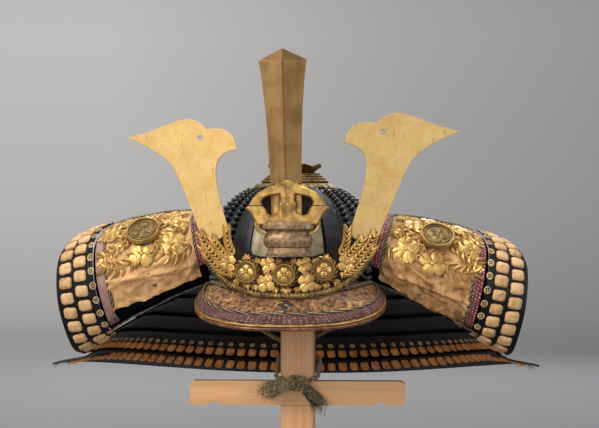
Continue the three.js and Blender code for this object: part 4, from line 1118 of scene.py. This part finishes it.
def medallion(name, radius):
    """A round boss in three pieces: its ground, the flower with the ring about it, and the rim."""
    profiles = [[(radius * k, z) for k, z in rows] for rows in (BOSS_GROUND, BOSS_RING, BOSS_RIM)]
    ground = spun(f"{name}_ground", profiles[0], 40)
    rim = spun(name, profiles[2], 48)
    bloom = petals(radius * 0.64, 4, radius * 0.06 + 0.8, 0.08)
    heart = bead(1, (radius * 0.14, radius * 0.14, 1.2))
    flower = join(f"{name}_flower", [bloom, heart, spun("ring", profiles[1], 40)])
    return ground, flower, rim


def set_boss(name, radius, matrix, finishes, slot, solid):
    """Put a round boss in its place. Its rim is the piece that stands for the solid."""
    for piece, finish in zip(medallion(name, radius), finishes):
        move(piece, matrix)
        merge(piece, 1e-7)
        done(piece, finish, slot, *([solid] if finish == gold_old else []), angle=50)


for label, (x, z) in BOSSES.items():
    matrix = seat(holder(x, z, -6.4), (x / HOLDER_BEND, -1, 0.05), 1.0, (1, 0, 0))
    set_boss(f"holder_boss_{label}", BOSS_RADIUS, matrix, (boss_ground, gold_relief, gold_old), "gilt",
             f"holder_medallion_{label}")

# %% [markdown]
# ## Horns
# The two hoe-shaped horns are flat sheets of gilt copper with a heart-shaped hole. The outline is
# drawn as Bezier curves with the corners sharp, thickened and given a fine rounded edge. Cutting a
# sheet this way keeps its face dead flat, which a bent grid would not.

# %% Horns
HORN_TURN, HORN_LEAN, HORN_WALL = math.radians(17), math.radians(3), 1.6
HORN = [  # each corner: where it is, and the handles before and after it
    ((-5.5, -24), None, None), ((24, -24), None, None), ((16.1, 10), None, (9.6, 30)),
    ((0.3, 70), (1.4, 48), (-0.4, 84)), ((24.4, 95.1), (6.7, 93), (23.2, 106)),
    ((5.7, 117.4), (16.3, 115.5), (0.2, 118.6)), ((-12.9, 117.2), (-7.6, 118.4), (-16.2, 122)),
    ((-35.9, 128.6), (-24.4, 128.9), (-53.6, 128.2)), ((-106.4, 109.1), (-78.5, 113), (-84, 101)),
    ((-51.5, 77.8), (-61.5, 89.5), (-41.5, 64)), ((-17, 5), (-28.6, 30), None),
]
HEART = [((-19.2, 104.6), (-13.8, 108), (-24.6, 108)), ((-19.2, 109.7), (-22.6, 112.4), (-15.8, 112.4))]
horn_gold = metal("horn_gold", "#d8b878", "#c8a160", "#74492a", (0.42, 0.58), 22, 1.0, (0.42, 0.75), 0.6)
streak = horn_gold.noise(14, 4, 0.6, horn_gold.place((1, 1, 0.25), (0, 0.6, 0)))
horn_gold.body = horn_gold.blend(horn_gold.remap(streak, 0.58, 0.72, 0, 0.5), horn_gold.body, "#8c6058")
scratch = horn_gold.noise(2.6, 2, 0.5, horn_gold.place((1, 1, 0.07), (0, -0.7, 0)))
horn_gold.body = horn_gold.blend(horn_gold.remap(scratch, 0.69, 0.74, 0, 0.6), horn_gold.body, "#7c4a4c")
speck = horn_gold.remap(horn_gold.cells(6), 0.06, 0.15, 0.85, 0)
where = horn_gold.remap(horn_gold.noise(24, 2, 0.5), 0.47, 0.6)
horn_gold.colour(horn_gold.blend(horn_gold.maths("MULTIPLY", speck, where), horn_gold.body, "#6e4426"))

for label, side, out, up in (("left", -1, 0, 0), ("right", 1, 6.5, 6.5)):
    horn = cut_plate(f"horn_{label}", HORN, [HEART], HORN_WALL, 0.3)
    move(horn, Matrix.Translation((0, HORN_WALL / 2 * MM, 0)))
    move(horn, Matrix.Rotation(-HORN_LEAN, 4, "X"))
    move(horn, Matrix.Rotation(-HORN_TURN, 4, "Z"))
    foot = holder(80 + out, 325, 2.2)
    move(horn, Matrix.Translation(Vector((-foot.x, foot.y, foot.z + up)) * MM))
    if side > 0:
        move(horn, Matrix.Diagonal((-1, 1, 1, 1)))
    merge(horn)
    done(horn, horn_gold.material, "gilt", f"crest_horn_{label}", angle=15)

# %% [markdown]
# ## Blade and hilt
# The middle crest is a straight sword with a ridge down its face, standing in the claws of a
# thunderbolt hilt. The blade is a four-cornered bar drawn out ring by ring, and its map tells the
# finish where the ridge and the edges run. The claws are a chamfered plate sawn level in two, with a
# ridged stem and a prong before it. The neck below is turned like a baluster, then flattened.

# %% Blade
BLADE_Y, BLADE_WALL, BLADE_LEAN, BLADE_FOOT = -136, 8.5, math.radians(1.6), 386.4
BLADE_ROWS = [(383, 16.5), (386.4, 16.8), (411, 17.7), (437, 18.7), (466, 20.4), (493, 22.9), (504, 24.2),
              (514.5, 26), (515.5, 25), (527.5, 0.5)]
blade_gold = metal("blade_gold", "#957848", "#7d5f35", "#553420", (0.42, 0.58), 24, 0.8, (0.42, 0.68), 0.6)
over = blade_gold.split(blade_gold.place(uv=True), "X")
for at, wide, hue in ((0.25, 0.012, "#6a3b26"), (0.0, 0.02, "#a5683a"), (0.5, 0.02, "#a5683a")):
    gap = blade_gold.maths("ABSOLUTE", blade_gold.maths("SUBTRACT", over, at))
    line = blade_gold.remap(gap, wide * 0.3, wide, 0.8, 0)
    blade_gold.body = blade_gold.blend(line, blade_gold.body, hue)
smear = blade_gold.remap(blade_gold.noise(9, 4, 0.6, blade_gold.place((1, 1, 0.12))), 0.5, 0.68, 0, 0.55)
tip = blade_gold.remap(blade_gold.split(blade_gold.place(), "Z"), 514.5, 516, 0, 0.6)
blade_gold.body = blade_gold.blend(smear, blade_gold.body, "#74492a")
blade_gold.colour(blade_gold.blend(tip, blade_gold.body, "#55401f"))


def blade_point(u, v):
    z, half = BLADE_ROWS[round(v * (len(BLADE_ROWS) - 1))]
    deep = BLADE_WALL / 2 * (1 if half > 1 else 0.1)
    corners = [(-half, 0), (-half * 0.62, -deep * 0.5), (0, -deep), (half * 0.62, -deep * 0.5), (half, 0),
               (half * 0.62, deep * 0.5), (0, deep), (-half * 0.62, deep * 0.5), (-half, 0)]
    x, y = corners[round(u * 8)]
    return x, BLADE_Y + y, z


blade = close(skin("sword_blade", blade_point, 8, len(BLADE_ROWS) - 1))
HILT_X, HILT_FRONT, HILT_WALL = 2, -142, 6.5
TANG_WIDE, TANG_WALL, TANG_HIGH, TANG_MIDDLE = 33, 1.8, 44, 367
TANG_FRONT = HILT_FRONT + HILT_WALL + 0.4
bpy.ops.object.select_all(action="DESELECT")
bpy.ops.mesh.primitive_cube_add(size=1, location=Vector((0, TANG_FRONT + TANG_WALL / 2, TANG_MIDDLE)) * MM,
                                scale=Vector((TANG_WIDE, TANG_WALL, TANG_HIGH)) * MM)
tang = bpy.context.active_object
bpy.ops.object.transform_apply(location=True, rotation=True, scale=True)
blade = join("sword_blade", [blade, tang])
pivot = Matrix.Translation((0, 0, BLADE_FOOT * MM))
move(blade, pivot @ Matrix.Rotation(-BLADE_LEAN, 4, "Y") @ pivot.inverted())
done(blade, blade_gold.material, "gilt_dark", "crest_blade", angle=8)

# %% Hilt
CLAWS = [(0, 384.4), (4.8, 381.4), (9.4, 384.4), (14, 380.6), (22.4, 377.8), (31, 373.4), (37.8, 366.4),
         (41.2, 360), (45.2, 356), (40, 352), (36.4, 345.6), (32.6, 338)]
HOLE = [(8.6, 371), (19, 369.4), (25.2, 367), (28, 363), (26.6, 359), (23.6, 355.4), (21.6, 350.6),
        (17, 348.2), (11, 350.4), (8.8, 354), (9.8, 361.6), (7.6, 364.4)]
SEAM = 359
claw_edge = CLAWS + [(-x, z) for x, z in reversed(CLAWS[1:])]
claws = cut_plate("hilt_claws", claw_edge, [HOLE, [(-x, z) for x, z in HOLE]], HILT_WALL, 1.7, 3, 0)
move(claws, Matrix.Translation((HILT_X * MM, (HILT_FRONT + HILT_WALL / 2) * MM, 0)))
upper = part_of("hilt_arch", claws, low=SEAM + 0.5)
lower = part_of("hilt_cup", claws, high=SEAM - 0.5)
move(upper, Matrix.Translation((0, -0.9 * MM, 0)))
bpy.data.objects.remove(claws)


def ridge(name, rows, deep):
    """A ridged bar standing before the hilt. Each row is a height and a half width."""
    def point(u, v):
        z, half = rows[round(v * (len(rows) - 1))]
        corners = [(-half, 0), (-half * 0.5, -deep * 0.6), (0, -deep), (half * 0.5, -deep * 0.6), (half, 0),
                   (-half, 0)]
        x, y = corners[round(u * 5)]
        return HILT_X + x, HILT_FRONT + 1.2 + y, z
    return close(skin(name, point, 5, len(rows) - 1))


STEM_ROWS = [(360, 4.2), (369, 4.6), (377, 6.4), (383, 8.6), (386.4, 3)]
PRONG_ROWS = [(338, 12), (343, 8.6), (348, 7.2), (353, 7.4), (358, 8.8), (361.2, 9.4), (361.6, 8.6)]
stem, prong = ridge("hilt_stem", STEM_ROWS, 3.6), ridge("hilt_prong", PRONG_ROWS, 6)
hooks = []
for side in (-1, 1):
    bar_edge = [(side * x, z) for x, z in ((9, 348), (15, 348), (15, 371), (9, 371))]
    bars = cut_plate("bar", bar_edge, [], 2.4, 0.4, 1, 0)
    hooks.append(move(bars, Matrix.Translation((HILT_X * MM, (HILT_FRONT + HILT_WALL + 0.2) * MM, 0))))
    bend = [(side * x, y, z) for x, y, z in ((33, -138, 344), (33.5, -138.5, 337), (30, -140, 331),
                                             (23.5, -141, 328.4))]
    hooks.append(tube("hook", even(bend, 16), lambda v: 2.2 - 0.9 * v, around=8))
    move(hooks[-1], Matrix.Translation((HILT_X * MM, 0, 0)))
# A near-black plate behind the claws stands for painted shade.
shade_edge = [(-29, 346), (29, 346), (31, 360), (24, 371), (-24, 371), (-31, 360)]
ground = cut_plate("hilt_ground", shade_edge, [], 1.2, 0.2, 1, 0)
move(ground, Matrix.Translation((HILT_X * MM, (HILT_FRONT + HILT_WALL + 3) * MM, 0)))
done(ground, shade_metal, "gilt_dark")
hilt = join("hilt_claws", [upper, lower, stem, prong, *hooks])
done(hilt, gold_old, "gilt_dark", "crest_hilt", angle=25)
NECK = [(0, 305.1), (24, 305.1), (24.4, 306.6), (22.4, 308), (21.6, 310.6), (21.6, 313.6), (24.6, 315),
        (25.2, 317), (26.4, 319), (26.8, 322.5), (25.6, 326), (23.6, 328), (23.6, 330.4), (25.4, 332.2),
        (30, 334), (30.8, 337.4), (29.8, 341.6), (0, 341.6)]
NECK_FLAT, NECK_Y = 0.46, -134
neck = spun("hilt_neck", NECK, 64)
reshape(neck, lambda x, y, z: (x + HILT_X, y * NECK_FLAT + NECK_Y, z))
done(neck, bronze, "gilt_dark", angle=25)

# %% [markdown]
# ## Neck guard
# Five laced plates spread like an umbrella round the back, and the ends of the fourth turn back at
# the temples. The guard is one surface: s runs round the back from -1 to 1 and on to 2 along an end
# that is turned back, and t runs from the bowl outwards. Its inner face shows black ribs.

# %% Guard surface
GUARD_ROWS = [(0, 99.8, 277, 113.8, 271), (0.28, 141, 259, 153, 251), (0.54, 179, 238, 192, 223),
              (0.78, 212, 215, 227, 198), (1, 240, 194, 250, 164), (1.16, 276, 186, 256, 158)]
GUARD_WALL, FOLD_INNER, FOLD_OUTER = 2.5, math.radians(114), math.radians(92.5)
CURL_NEAR = [(0, 0, 0), (-4, -27, 7), (-2, -42, 32), (3, -32, 56), (7, -6, 69), (10, 26, 76)]
CURL_FAR = [(0, 0, 0), (6, -40, 10), (17, -62, 58), (19, -48, 102), (11, -18, 122), (-1, 18, 129)]
CURL_RISE, CURL_STEPS = {-1: 1.0, 1: 0.93}, 64
near_line, far_line = even(CURL_NEAR, CURL_STEPS), even(CURL_FAR, CURL_STEPS)
NEAR_LENGTH, FAR_LENGTH = span(near_line), span(far_line)


def guard_row(t):
    """Radius and height at the side and at the back, t of the way out."""
    i = 0
    while i < len(GUARD_ROWS) - 2 and t > GUARD_ROWS[i + 1][0]:
        i += 1
    a, b = GUARD_ROWS[i], GUARD_ROWS[i + 1]
    w = (t - a[0]) / (b[0] - a[0])
    return [mix(p, q, w) for p, q in zip(a[1:], b[1:])]


def arc(s, t):
    a = s * mix(FOLD_INNER, FOLD_OUTER, min(t, 1))
    side_r, side_z, back_r, back_z = guard_row(t)
    w = math.sin(a) ** 2
    r = mix(back_r, side_r, w)
    return Vector((r * math.sin(a), r * math.cos(a), mix(back_z, side_z, w)))


def on_line(line, u):
    x = min(max(u, 0), 1) * CURL_STEPS
    i = min(int(x), CURL_STEPS - 1)
    return line[i].lerp(line[i + 1], x - i)


def guard(s, t):
    side, u = (1 if s >= 0 else -1), abs(s) - 1
    if u <= 0:
        return arc(s, t)
    off = on_line(near_line, u).lerp(on_line(far_line, u), t)
    return arc(side, t) + Vector((side * off.x, off.y, off.z * CURL_RISE[side]))


def guard_up(s, t):
    """Outwards from the guard, away from whoever looks at its ribbed inner face."""
    e = 2e-3
    return (guard(s + e, t) - guard(s - e, t)).cross(guard(s, t + e) - guard(s, t - e)).normalized()


def on_guard(s, t, out):
    """A place on the guard, out millimetres outwards. Below 0 it lies on the side of the inner face."""
    return guard(s, t) + guard_up(s, t) * out


# %% Laced plates
LAMES = [(0, 0.3, 0, 0, 1, 1), (0.27, 0.55, -3.9, 0, 1, 1), (0.52, 0.79, -3.9, 0, 1, 1),
         (0.715, 1, -4.2, 0, 2, 2), (0.93, 1.16, -6.4, -4.5, 1, 1)]
RIBS = 196
lacquer = Finish("rib_lacquer", "#0b0b0d", roughness=0.5, specular_ior_level=0.3)
wear = lacquer.noise(24, 5, 0.6)
lacquer.colour(lacquer.tone(wear, (0.35, "#050506"), (0.6, "#0c0c0e"), (0.8, "#1e1a17")))
lacquer.rough(lacquer.noise(5, 4), 0.38, 0.6)
lacing = Finish("dark_lacing", "#101116", roughness=0.9, specular_ior_level=0.0)
weave = lacing.noise(0.8, 2, 0.5, lacing.place((1, 1, 0.4)))
lacing.colour(lacing.tone(lacing.noise(30, 4), (0.3, "#08090c"), (0.7, "#16161a"))).relief(weave, 0.3)

for number, (top, bottom, top_out, bottom_out, left_end, right_end) in enumerate(LAMES, 1):
    start, end = -left_end, right_end
    columns = int(RIBS * 2 * (end - start))

    def rib(u, v):
        s, t = mix(start, end, u), mix(top, bottom, v)
        hollow = 0.75 * abs(math.sin(math.pi * RIBS / 2 * s))
        edge = 0.5 if v > 0.93 or v < 0.04 else 0
        return on_guard(s, t, mix(top_out, bottom_out, v) - hollow - edge)

    lame = wall(skin(f"lame_{number}", rib, columns, 7), GUARD_WALL - 0.9)
    for face in lame.data.polygons:
        s = face.center / MM
        face.material_index = 1 if face.normal.z > 0.05 and Vector((s.x, s.y, 0)).length > 90 else 0
    done(lame, [lacquer.material, lacing.material], "black_lacquer", f"neck_guard_lame_{number}", angle=70)

# %% [markdown]
# ## Cushions and rings
# The lower rows carry small stuffed silk pads, one beside the other, and above them a row of little
# rings. Each pad is a crowned block whose sides pull in between its corners. It is modelled once and
# copied along the guard, with a tone of its own kept as an attribute, so that the silk varies.

# %% Silk pads
def pad_template():
    bpy.ops.object.select_all(action="DESELECT")
    bpy.ops.mesh.primitive_cube_add(size=2 * MM)
    obj = bpy.context.active_object
    bpy.ops.object.mode_set(mode="EDIT")
    bpy.ops.mesh.select_all(action="SELECT")
    bpy.ops.mesh.subdivide(number_cuts=3)
    bpy.ops.object.mode_set(mode="OBJECT")

    def puff(x, y, z):
        notch = 0.07 * max(0, 1 - abs(y) * 2.2) * abs(x) + 0.16 * x * x * y * y
        tuck = 0.07 * max(0, 1 - abs(x) * 2.2) * abs(y) + 0.16 * x * x * y * y
        crown = (1 - 0.45 * x**4) * (1 - 0.45 * y**4) - 0.12 * math.exp(-((x - y) / 0.3) ** 2)
        return x * (1 - notch), y * (1 - tuck), z * crown if z > 0 else z * 0.2

    return reshape(obj, puff)


def tint(obj, count, template_faces):
    """A random tone for each copy, kept on its faces."""
    layer = obj.data.attributes.new("tone", "FLOAT", "FACE")
    tones = [random.random() for k in range(count)]
    for i in range(len(obj.data.polygons)):
        layer.data[i].value = tones[i // template_faces]


def pad_silk(name, light, mid, dark):
    made = Finish(name, mid, roughness=0.75, sheen_weight=0.05)
    own = made.maths("MULTIPLY", made.node("Attribute", "Fac", attribute_name="tone"), 0.16)
    cloud = made.maths("MULTIPLY", made.noise(5, 4, 0.65), 0.84)
    body = made.tone(made.maths("ADD", own, cloud), (0.3, dark), (0.5, mid), (0.78, light))
    made.colour(body).relief(made.noise(0.9, 3, 0.6), 0.3)
    return made.material


back_silk = pad_silk("pad_silk_back", "#f2b06a", "#d28d4c", "#925c34")
side_silk = pad_silk("pad_silk_side", "#ecca9c", "#d6ac78", "#a07648")
ring_silk = pad_silk("ring_silk", "#ecd6aa", "#c4a678", "#765c3a")
pad = pad_template()
pad_faces = len(pad.data.polygons)
bpy.ops.object.select_all(action="DESELECT")
bpy.ops.mesh.primitive_torus_add(major_segments=12, minor_segments=5, major_radius=0.8 * MM,
                                 minor_radius=0.19 * MM)
ring_pad = bpy.context.active_object
knots = [ring_pad]
for turn in (0.3, 1.9):
    bpy.ops.object.select_all(action="DESELECT")
    bpy.ops.mesh.primitive_cube_add(size=1, location=(0, 0, 0.1 * MM), rotation=(0, 0, turn),
                                    scale=(1.5 * MM, 0.16 * MM, 0.24 * MM))
    bpy.ops.object.transform_apply(location=True, rotation=True, scale=True)
    knots.append(bpy.context.active_object)
ring_pad = join("ring_pad", knots)
ring_faces = len(ring_pad.data.polygons)


def along_guard(name, template, faces, stations, size, out, finish):
    """Copies of a template along the guard, each a little turned and with a size and a tone of its own."""
    places = []
    for s, t in stations:
        here = on_guard(s, t, out)
        inward = -guard_up(s, t) if out < 0 else guard_up(s, t)
        along = guard(s + 0.004, t) - guard(s - 0.004, t)
        along = Matrix.Rotation(random.uniform(-0.08, 0.08), 3, inward) @ along
        k = random.uniform(0.95, 1.04)
        places.append(seat(here, inward, (size[0] * k, size[1] * k, size[2] * k), along))
    made = repeat(name, template, places)
    tint(made, len(places), faces)
    return done(made, finish, "silk_cord", angle=80)


BACK_COUNT, END_COUNT = 55, 13
back_places = [mix(-0.995, 0.995, (k + 0.5) / BACK_COUNT) for k in range(BACK_COUNT)]
PAD_ROWS = {  # where the row lies from the bowl outwards, a pad's half sizes, and how far in its foot is
    "upper": (0.895, (5.2, 5.6, 2.6), -4.6), "lower": (0.985, (5.2, 6.3, 2.6), -8.6),
    "inner": (0.803, (6.4, 7.6, 3), -5.5), "outer": (0.918, (6.6, 7.9, 3), -3.9),
}
for name in ("upper", "lower"):
    t, size, out = PAD_ROWS[name]
    stations = [(s, t + (0.1 * abs(s) ** 8 if name == "lower" else 0)) for s in back_places]
    along_guard(f"pads_back_{name}", pad, pad_faces, stations, size, out, back_silk)
stations = [(s, 0.83) for s in back_places]
along_guard("rings_back", ring_pad, ring_faces, stations, (3.4, 3.2, 2.4), -5.1, ring_silk)
for label, side in (("left", -1), ("right", 1)):
    end_places = [side * (1 + mix(0.03, 0.99, (k + 0.5) / END_COUNT)) for k in range(END_COUNT)]
    for name in ("inner", "outer"):
        t, size, out = PAD_ROWS[name]
        stations = [(s, t) for s in end_places]
        along_guard(f"pads_{label}_{name}", pad, pad_faces, stations, size, out, side_silk)
    stations = [(s, 0.725) for s in end_places]
    along_guard(f"rings_{label}", ring_pad, ring_faces, stations, (4.5, 3.9, 2.6), -6.6, ring_silk)

# %% [markdown]
# ## Turned-back ends
# Each end is a lacquered board under tan leather, with red dotted strips and a twisted braid round
# it, small enamel rivets, and a gilt vine with a round boss that stands off the leather. The leather's
# lower edge slants, and hangs lower on the right. The outer strips are frayed at their lower ends, and
# the right one is charred there.

# %% Boards and leather
INNER, OUTER, START, BOARD_WALL, STRIP = 0.005, 0.72, 0.03, 3, 0.058
LEATHER_FOOT = {-1: (0.245, 0.262), 1: (0.235, 0.125)}
TRIM = OUTER - 0.022
turn_leather = leather("turnback_leather", "#d6ac78", "#bb8c58", "#7e5634", "#96693c", 14, 12)
red_strip = dotted("red_strip", "#661f2b", "#84363f", "#dcbfb0", 46, 3, tuple(on_guard(1.105, 0.68, -4)))
faded_strip = dotted("faded_strip", "#ab9488", "#9a6f68", "#9c3f4e", 46, 3)
enamel = Finish("green_enamel", "#3f6b4a", roughness=0.15, coat_weight=0.6)
enamel.colour(enamel.tone(enamel.noise(3, 3), (0.4, "#2c5238"), (0.7, "#6f9468")))
fold_cord = Finish("fold_cord", "#8d8a80", roughness=0.7, sheen_weight=0.2)
FOLD_TONES = [(0.35, "#2c2a27"), (0.55, "#6e6b62"), (0.75, "#a39e8e")]
fold_cord.colour(fold_cord.tone(fold_cord.noise(3, 3), *FOLD_TONES))


def slab(name, side, across, along, face, thickness, nu, nv, shape=None, sag=0.0):
    """A sheet on a turned-back end. across is (inner, outer), along is (inner foot, outer foot, top)."""
    def point(u, v):
        low = mix(along[0], along[1], v) - sag * math.sin(math.pi * v)
        s, t = side * (1 + mix(low, along[2], u)), mix(*across, v)
        return on_guard(s, t, -(face + (shape(u, v) if shape else 0)))
    obj = skin(name, point, nu, nv)
    if side > 0:
        flip(obj)
    return wall(obj, thickness)


def wrinkle(side, u, v):
    """How far old leather stands off its board: soft waves, two slanting folds and fine creases."""
    broad = noise.noise(Vector((u * 4 + side * 7, v * 9, 0.3)))
    fine = noise.noise(Vector((u * 14, v * 22 + side * 3, 1.7)))
    low_fold = math.exp(-(((u - 0.13 - 0.1 * v) / 0.018) ** 2))
    fold = low_fold + 0.8 * math.exp(-(((u - 0.3 + 0.12 * v) / 0.02) ** 2))
    crease = max(0, 0.25 - abs(noise.noise(Vector((u * 7, v * 6, side * 5))))) * 4
    loose = 1 + 1.3 * (1 - smooth(u, 0.25, 0.5))
    folds = 1.3 * broad + 0.5 * fine + 1.3 * fold * smooth(v, 0.05, 0.3) + 0.7 * crease
    return loose * folds + 1.6 * (1 - smooth(u, 0, 0.05))


LEATHER_FACE = BOARD_WALL / 2 + 1.9
# Each stain is a place on the guard, its reach in millimetres and its strength.
STAINS = [(1.16, 0.6, 22, 0.9), (1.3, 0.2, 14, 0.35), (-1.3, 0.4, 14, 0.2), (-1.36, 0.12, 12, 0.3)]
for s, t, reach, strength in STAINS:
    spot = tuple(on_guard(s, t, -LEATHER_FACE))
    off = turn_leather.node("VectorMath", "Value", {0: turn_leather.place(), 1: spot}, operation="DISTANCE")
    edge = turn_leather.maths("ADD", off, turn_leather.maths("MULTIPLY", turn_leather.noise(6, 4), 14))
    amount = turn_leather.remap(edge, 6, reach, strength, 0)
    turn_leather.body = turn_leather.blend(amount, turn_leather.body, "#3b2919")
left = turn_leather.remap(turn_leather.split(turn_leather.place(), "X"), -60, -140, 0, 0.5)
turn_leather.colour(turn_leather.blend(left, turn_leather.body, "#f0bd80"))
FOLD_STEPS, FRINGE_THREADS = 80, 46
for label, side in (("left", -1), ("right", 1)):
    board = slab(f"board_{label}", side, (INNER, OUTER), (START, START, 1), BOARD_WALL / 2, BOARD_WALL,
                 48, 20)
    done(board, lacing.material, "black_lacquer", f"turnback_board_{label}")
    foot = LEATHER_FOOT[side]
    hide = slab(f"leather_{label}", side, (INNER + STRIP, TRIM - STRIP), (*foot, 1 - STRIP / 2),
                LEATHER_FACE, 1.2, 110, 80, lambda u, v: wrinkle(side, u, v), 0.025)
    done(hide, turn_leather.material, "printed_leather", f"turnback_leather_{label}")

    def crowned(u, v):
        return 0.6 * math.sin(math.pi * v) + 0.25 * noise.noise(Vector((u * 30, v * 3, side)))

    edges = {  # across, along, and the faces along and across
        "inner": ((INNER, INNER + STRIP), (foot[0] + 0.08, foot[0] + 0.08, 1), 90, 6, crowned),
        "outer": ((TRIM - STRIP, TRIM), (foot[1] - 0.02, foot[1] - 0.035, 1), 90, 6, crowned),
        "top": ((INNER + STRIP, TRIM - STRIP), (1 - STRIP / 2, 1 - STRIP / 2, 1), 6, 60, None),
    }
    strips = {
        name: slab(f"strip_{name}_{label}", side, across, along, LEATHER_FACE + 0.5, 1.6, nu, nv, shape)
        for name, (across, along, nu, nv, shape) in edges.items()
    }
    for name, strip in strips.items():
        finish = faded_strip if side < 0 and name == "outer" else red_strip
        done(strip, finish, "red_leather", *([f"turnback_edging_{label}"] if name == "inner" else []))
    low, high = INNER + STRIP + 0.006, TRIM - STRIP - 0.006
    ends = [(low, foot[0] + 0.06), (low, 0.7), (low, 0.945), (0.1, 0.962), (0.36, 0.962),
            (high - 0.04, 0.962), (high, 0.945), (high, 0.7), (high, foot[1] + 0.01)]
    course = even([(t, u, 0) for t, u in ends], 260)
    route = [on_guard(side * (1 + p.y), p.x, -LEATHER_FACE - 0.9) for p in course]
    braid = tube(f"braid_{label}", route, 1.5, around=8, lobes=2, twist=math.pi * 0.5, depth=0.35)
    done(braid, braid_silk.material, "silk_cord", angle=60)
    ridge_line = []
    for i in range(FOLD_STEPS + 1):
        part = i / FOLD_STEPS
        s = side * (1 + 0.1 + 0.012 * math.sin(9 * part))
        ridge_line.append(on_guard(s, mix(0.01, 0.76, part), -BOARD_WALL - 0.6))
    cord = tube(f"fold_cord_{label}", ridge_line, 1.0, around=8, lobes=2, twist=math.pi * 0.4, depth=0.4)
    done(cord, fold_cord.material, "silk_cord", angle=60)
    fringe = []
    for k in range(FRINGE_THREADS):
        t, start = random.uniform(TRIM - STRIP, TRIM), foot[1] - 0.03
        reach = random.uniform(0.03, 0.075)
        drift = random.uniform(-0.012, 0.012)
        fringe.append([on_guard(side * (1 + start - reach * i / 4), t + drift * i / 4,
                                -LEATHER_FACE - 0.6 * (i % 2)) for i in range(5)])
    done(strands(f"frayed_strip_{label}", fringe, 0.4), faded_strip, "red_leather", angle=60)


# %% Places on the turned-back ends
ACROSS_WIDTH = (arc(1, 1) - arc(1, 0)).length
LIFT = LEATHER_FACE + 1.4


def on_end(side, across, along, height):
    """A place in millimetres from the middle of an end: across runs outwards and along runs up."""
    t = 0.4 + across / ACROSS_WIDTH
    u = 0.63 + along / mix(NEAR_LENGTH, FAR_LENGTH, t)
    return on_guard(side * (1 + u), t, -height)


def end_seat(side, across, along, height, size):
    """The matrix for a copy on an end, standing off it and pointing up along it."""
    foot = on_end(side, across, along, height)
    out = on_end(side, across, along, height + 1) - foot
    return seat(foot, out, size, on_end(side, across, along + 1, height) - foot)


RIVETS = {
    "left": [(-8, -58), (41, -64), (-53, -46), (-4, -46)],
    "right": [(-13, -71), (-52, -55), (44, -62), (10, -60)],
}
for label, side in (("left", -1), ("right", 1)):
    places = [end_seat(side, x, y, LIFT - 1.8, (2.3, 2.3, 1.8)) for x, y in RIVETS[label]]
    done(repeat(f"rivets_{label}", dome, places), enamel.material, "gilt_dark", angle=80)
    rings = [end_seat(side, x, y, LIFT - 1.4, (3, 3, 2.2)) for x, y in RIVETS[label]]
    done(repeat(f"rivet_rings_{label}", ring_pad, rings), gold_old, "gilt_dark", angle=60)

# %% Vine of the turned-back ends
BOSS_PLACE, END_BOSS = (-4, 1), 19.5
WAVES = [(-27, 5, 2.2), (-9, 5, 0.4), (9, 5, 2.9), (27, 5, 0.9)]  # a stem's height, its swing and its start
END_FLOWERS = {  # across, along and radius of the large flowers
    "left": [(-1, -23, 14.5), (-34, -20, 14), (34, 13, 12), (-34, 15, 12), (20, 30, 12), (-12, 33, 11)],
    "right": [(-33, -23, 14.5), (-4, -31, 14.5), (33, -2, 12), (-31, 16, 12), (20, 30, 12), (-12, 33, 11)],
}
LARGE_BLOOM = 14
large_bloom = join("large_bloom", [petals(LARGE_BLOOM, 4, 1.6, 0.05), bead(0.9, (2.2, 2.2, 1.5))])
for label, side in (("left", -1), ("right", 1)):
    leaves, stems = [], []
    for height, swing, start in WAVES:
        wave = [(x, height + swing * math.sin(x / 9 + start)) for x in range(-51, 42, 6)]
        stems.append(wave)
        for x, y, a, size, hand in spray(wave, 7.2, 1.0, 1.3, 0.0):
            leaves.append(flat_place(x, y, a, size * random.uniform(0.9, 1.1), 0, hand))
    middle = Vector((*BOSS_PLACE, 0)) * MM
    far = [m for m in leaves if (m.translation - middle).length > (END_BOSS - 4) * MM]
    openwork = [repeat("vine_leaves", finger, far)]
    for wave in stems:
        openwork.append(tube("stem", even([(x, y, 0.4) for x, y in wave], 40), 1.0, around=6))
    blooms = [flat_place(x, y, 0.5 + x, radius / LARGE_BLOOM, 1.2) for x, y, radius in END_FLOWERS[label]]
    openwork.append(repeat("vine_flowers", large_bloom, blooms))
    buds = [flat_place(x, y, x, 0.8, 1.0) for x, y in ((44, -20), (-46, -3), (43, 30), (24, -6))]
    openwork.append(repeat("vine_buds", small_bloom, buds))
    vine = join(f"vine_{label}", openwork)
    reshape(vine, lambda x, y, z: on_end(side, x, y, LIFT + z))
    merge(vine, 1e-7)
    done(vine, gold_relief, "gilt", f"turnback_openwork_{label}", angle=50)
    set_boss(f"boss_{label}", END_BOSS, end_seat(side, *BOSS_PLACE, LIFT + 4.4, 1),
             (boss_ground, crown_bronze, gold_old), "gilt_dark", f"turnback_medallion_{label}")

# %% [markdown]
# ## Frayed threads
# The corners of the lowest plate have lost their binding, and loose threads hang out of them. They
# are short pointed strands in one mesh, each with its own droop.

# %% Loose threads
LOOSE_THREADS = 26
for label, side in (("left", -1), ("right", 1)):
    paths = []
    for k in range(LOOSE_THREADS):
        s, t = side * random.uniform(0.955, 1.0), random.uniform(1.0, 1.15)
        start = on_guard(s, t, -8)
        out = Vector((side * random.uniform(-0.3, 0.7), -0.4, random.uniform(-0.6, 0.2)))
        out *= random.uniform(5, 10)
        paths.append([start + out * (i / 4) + Vector((0, 0, -2.5 * (i / 4) ** 2)) for i in range(5)])
    done(strands(f"loose_threads_{label}", paths, 0.35), ring_silk, "silk_cord", angle=60)

# %% [markdown]
# ## Finish
# The small templates that were copied over the helmet are removed.

# %% Finish
for template in (dome, leaf, finger, small_bloom, large_bloom, pad, ring_pad):
    bpy.data.objects.remove(template)
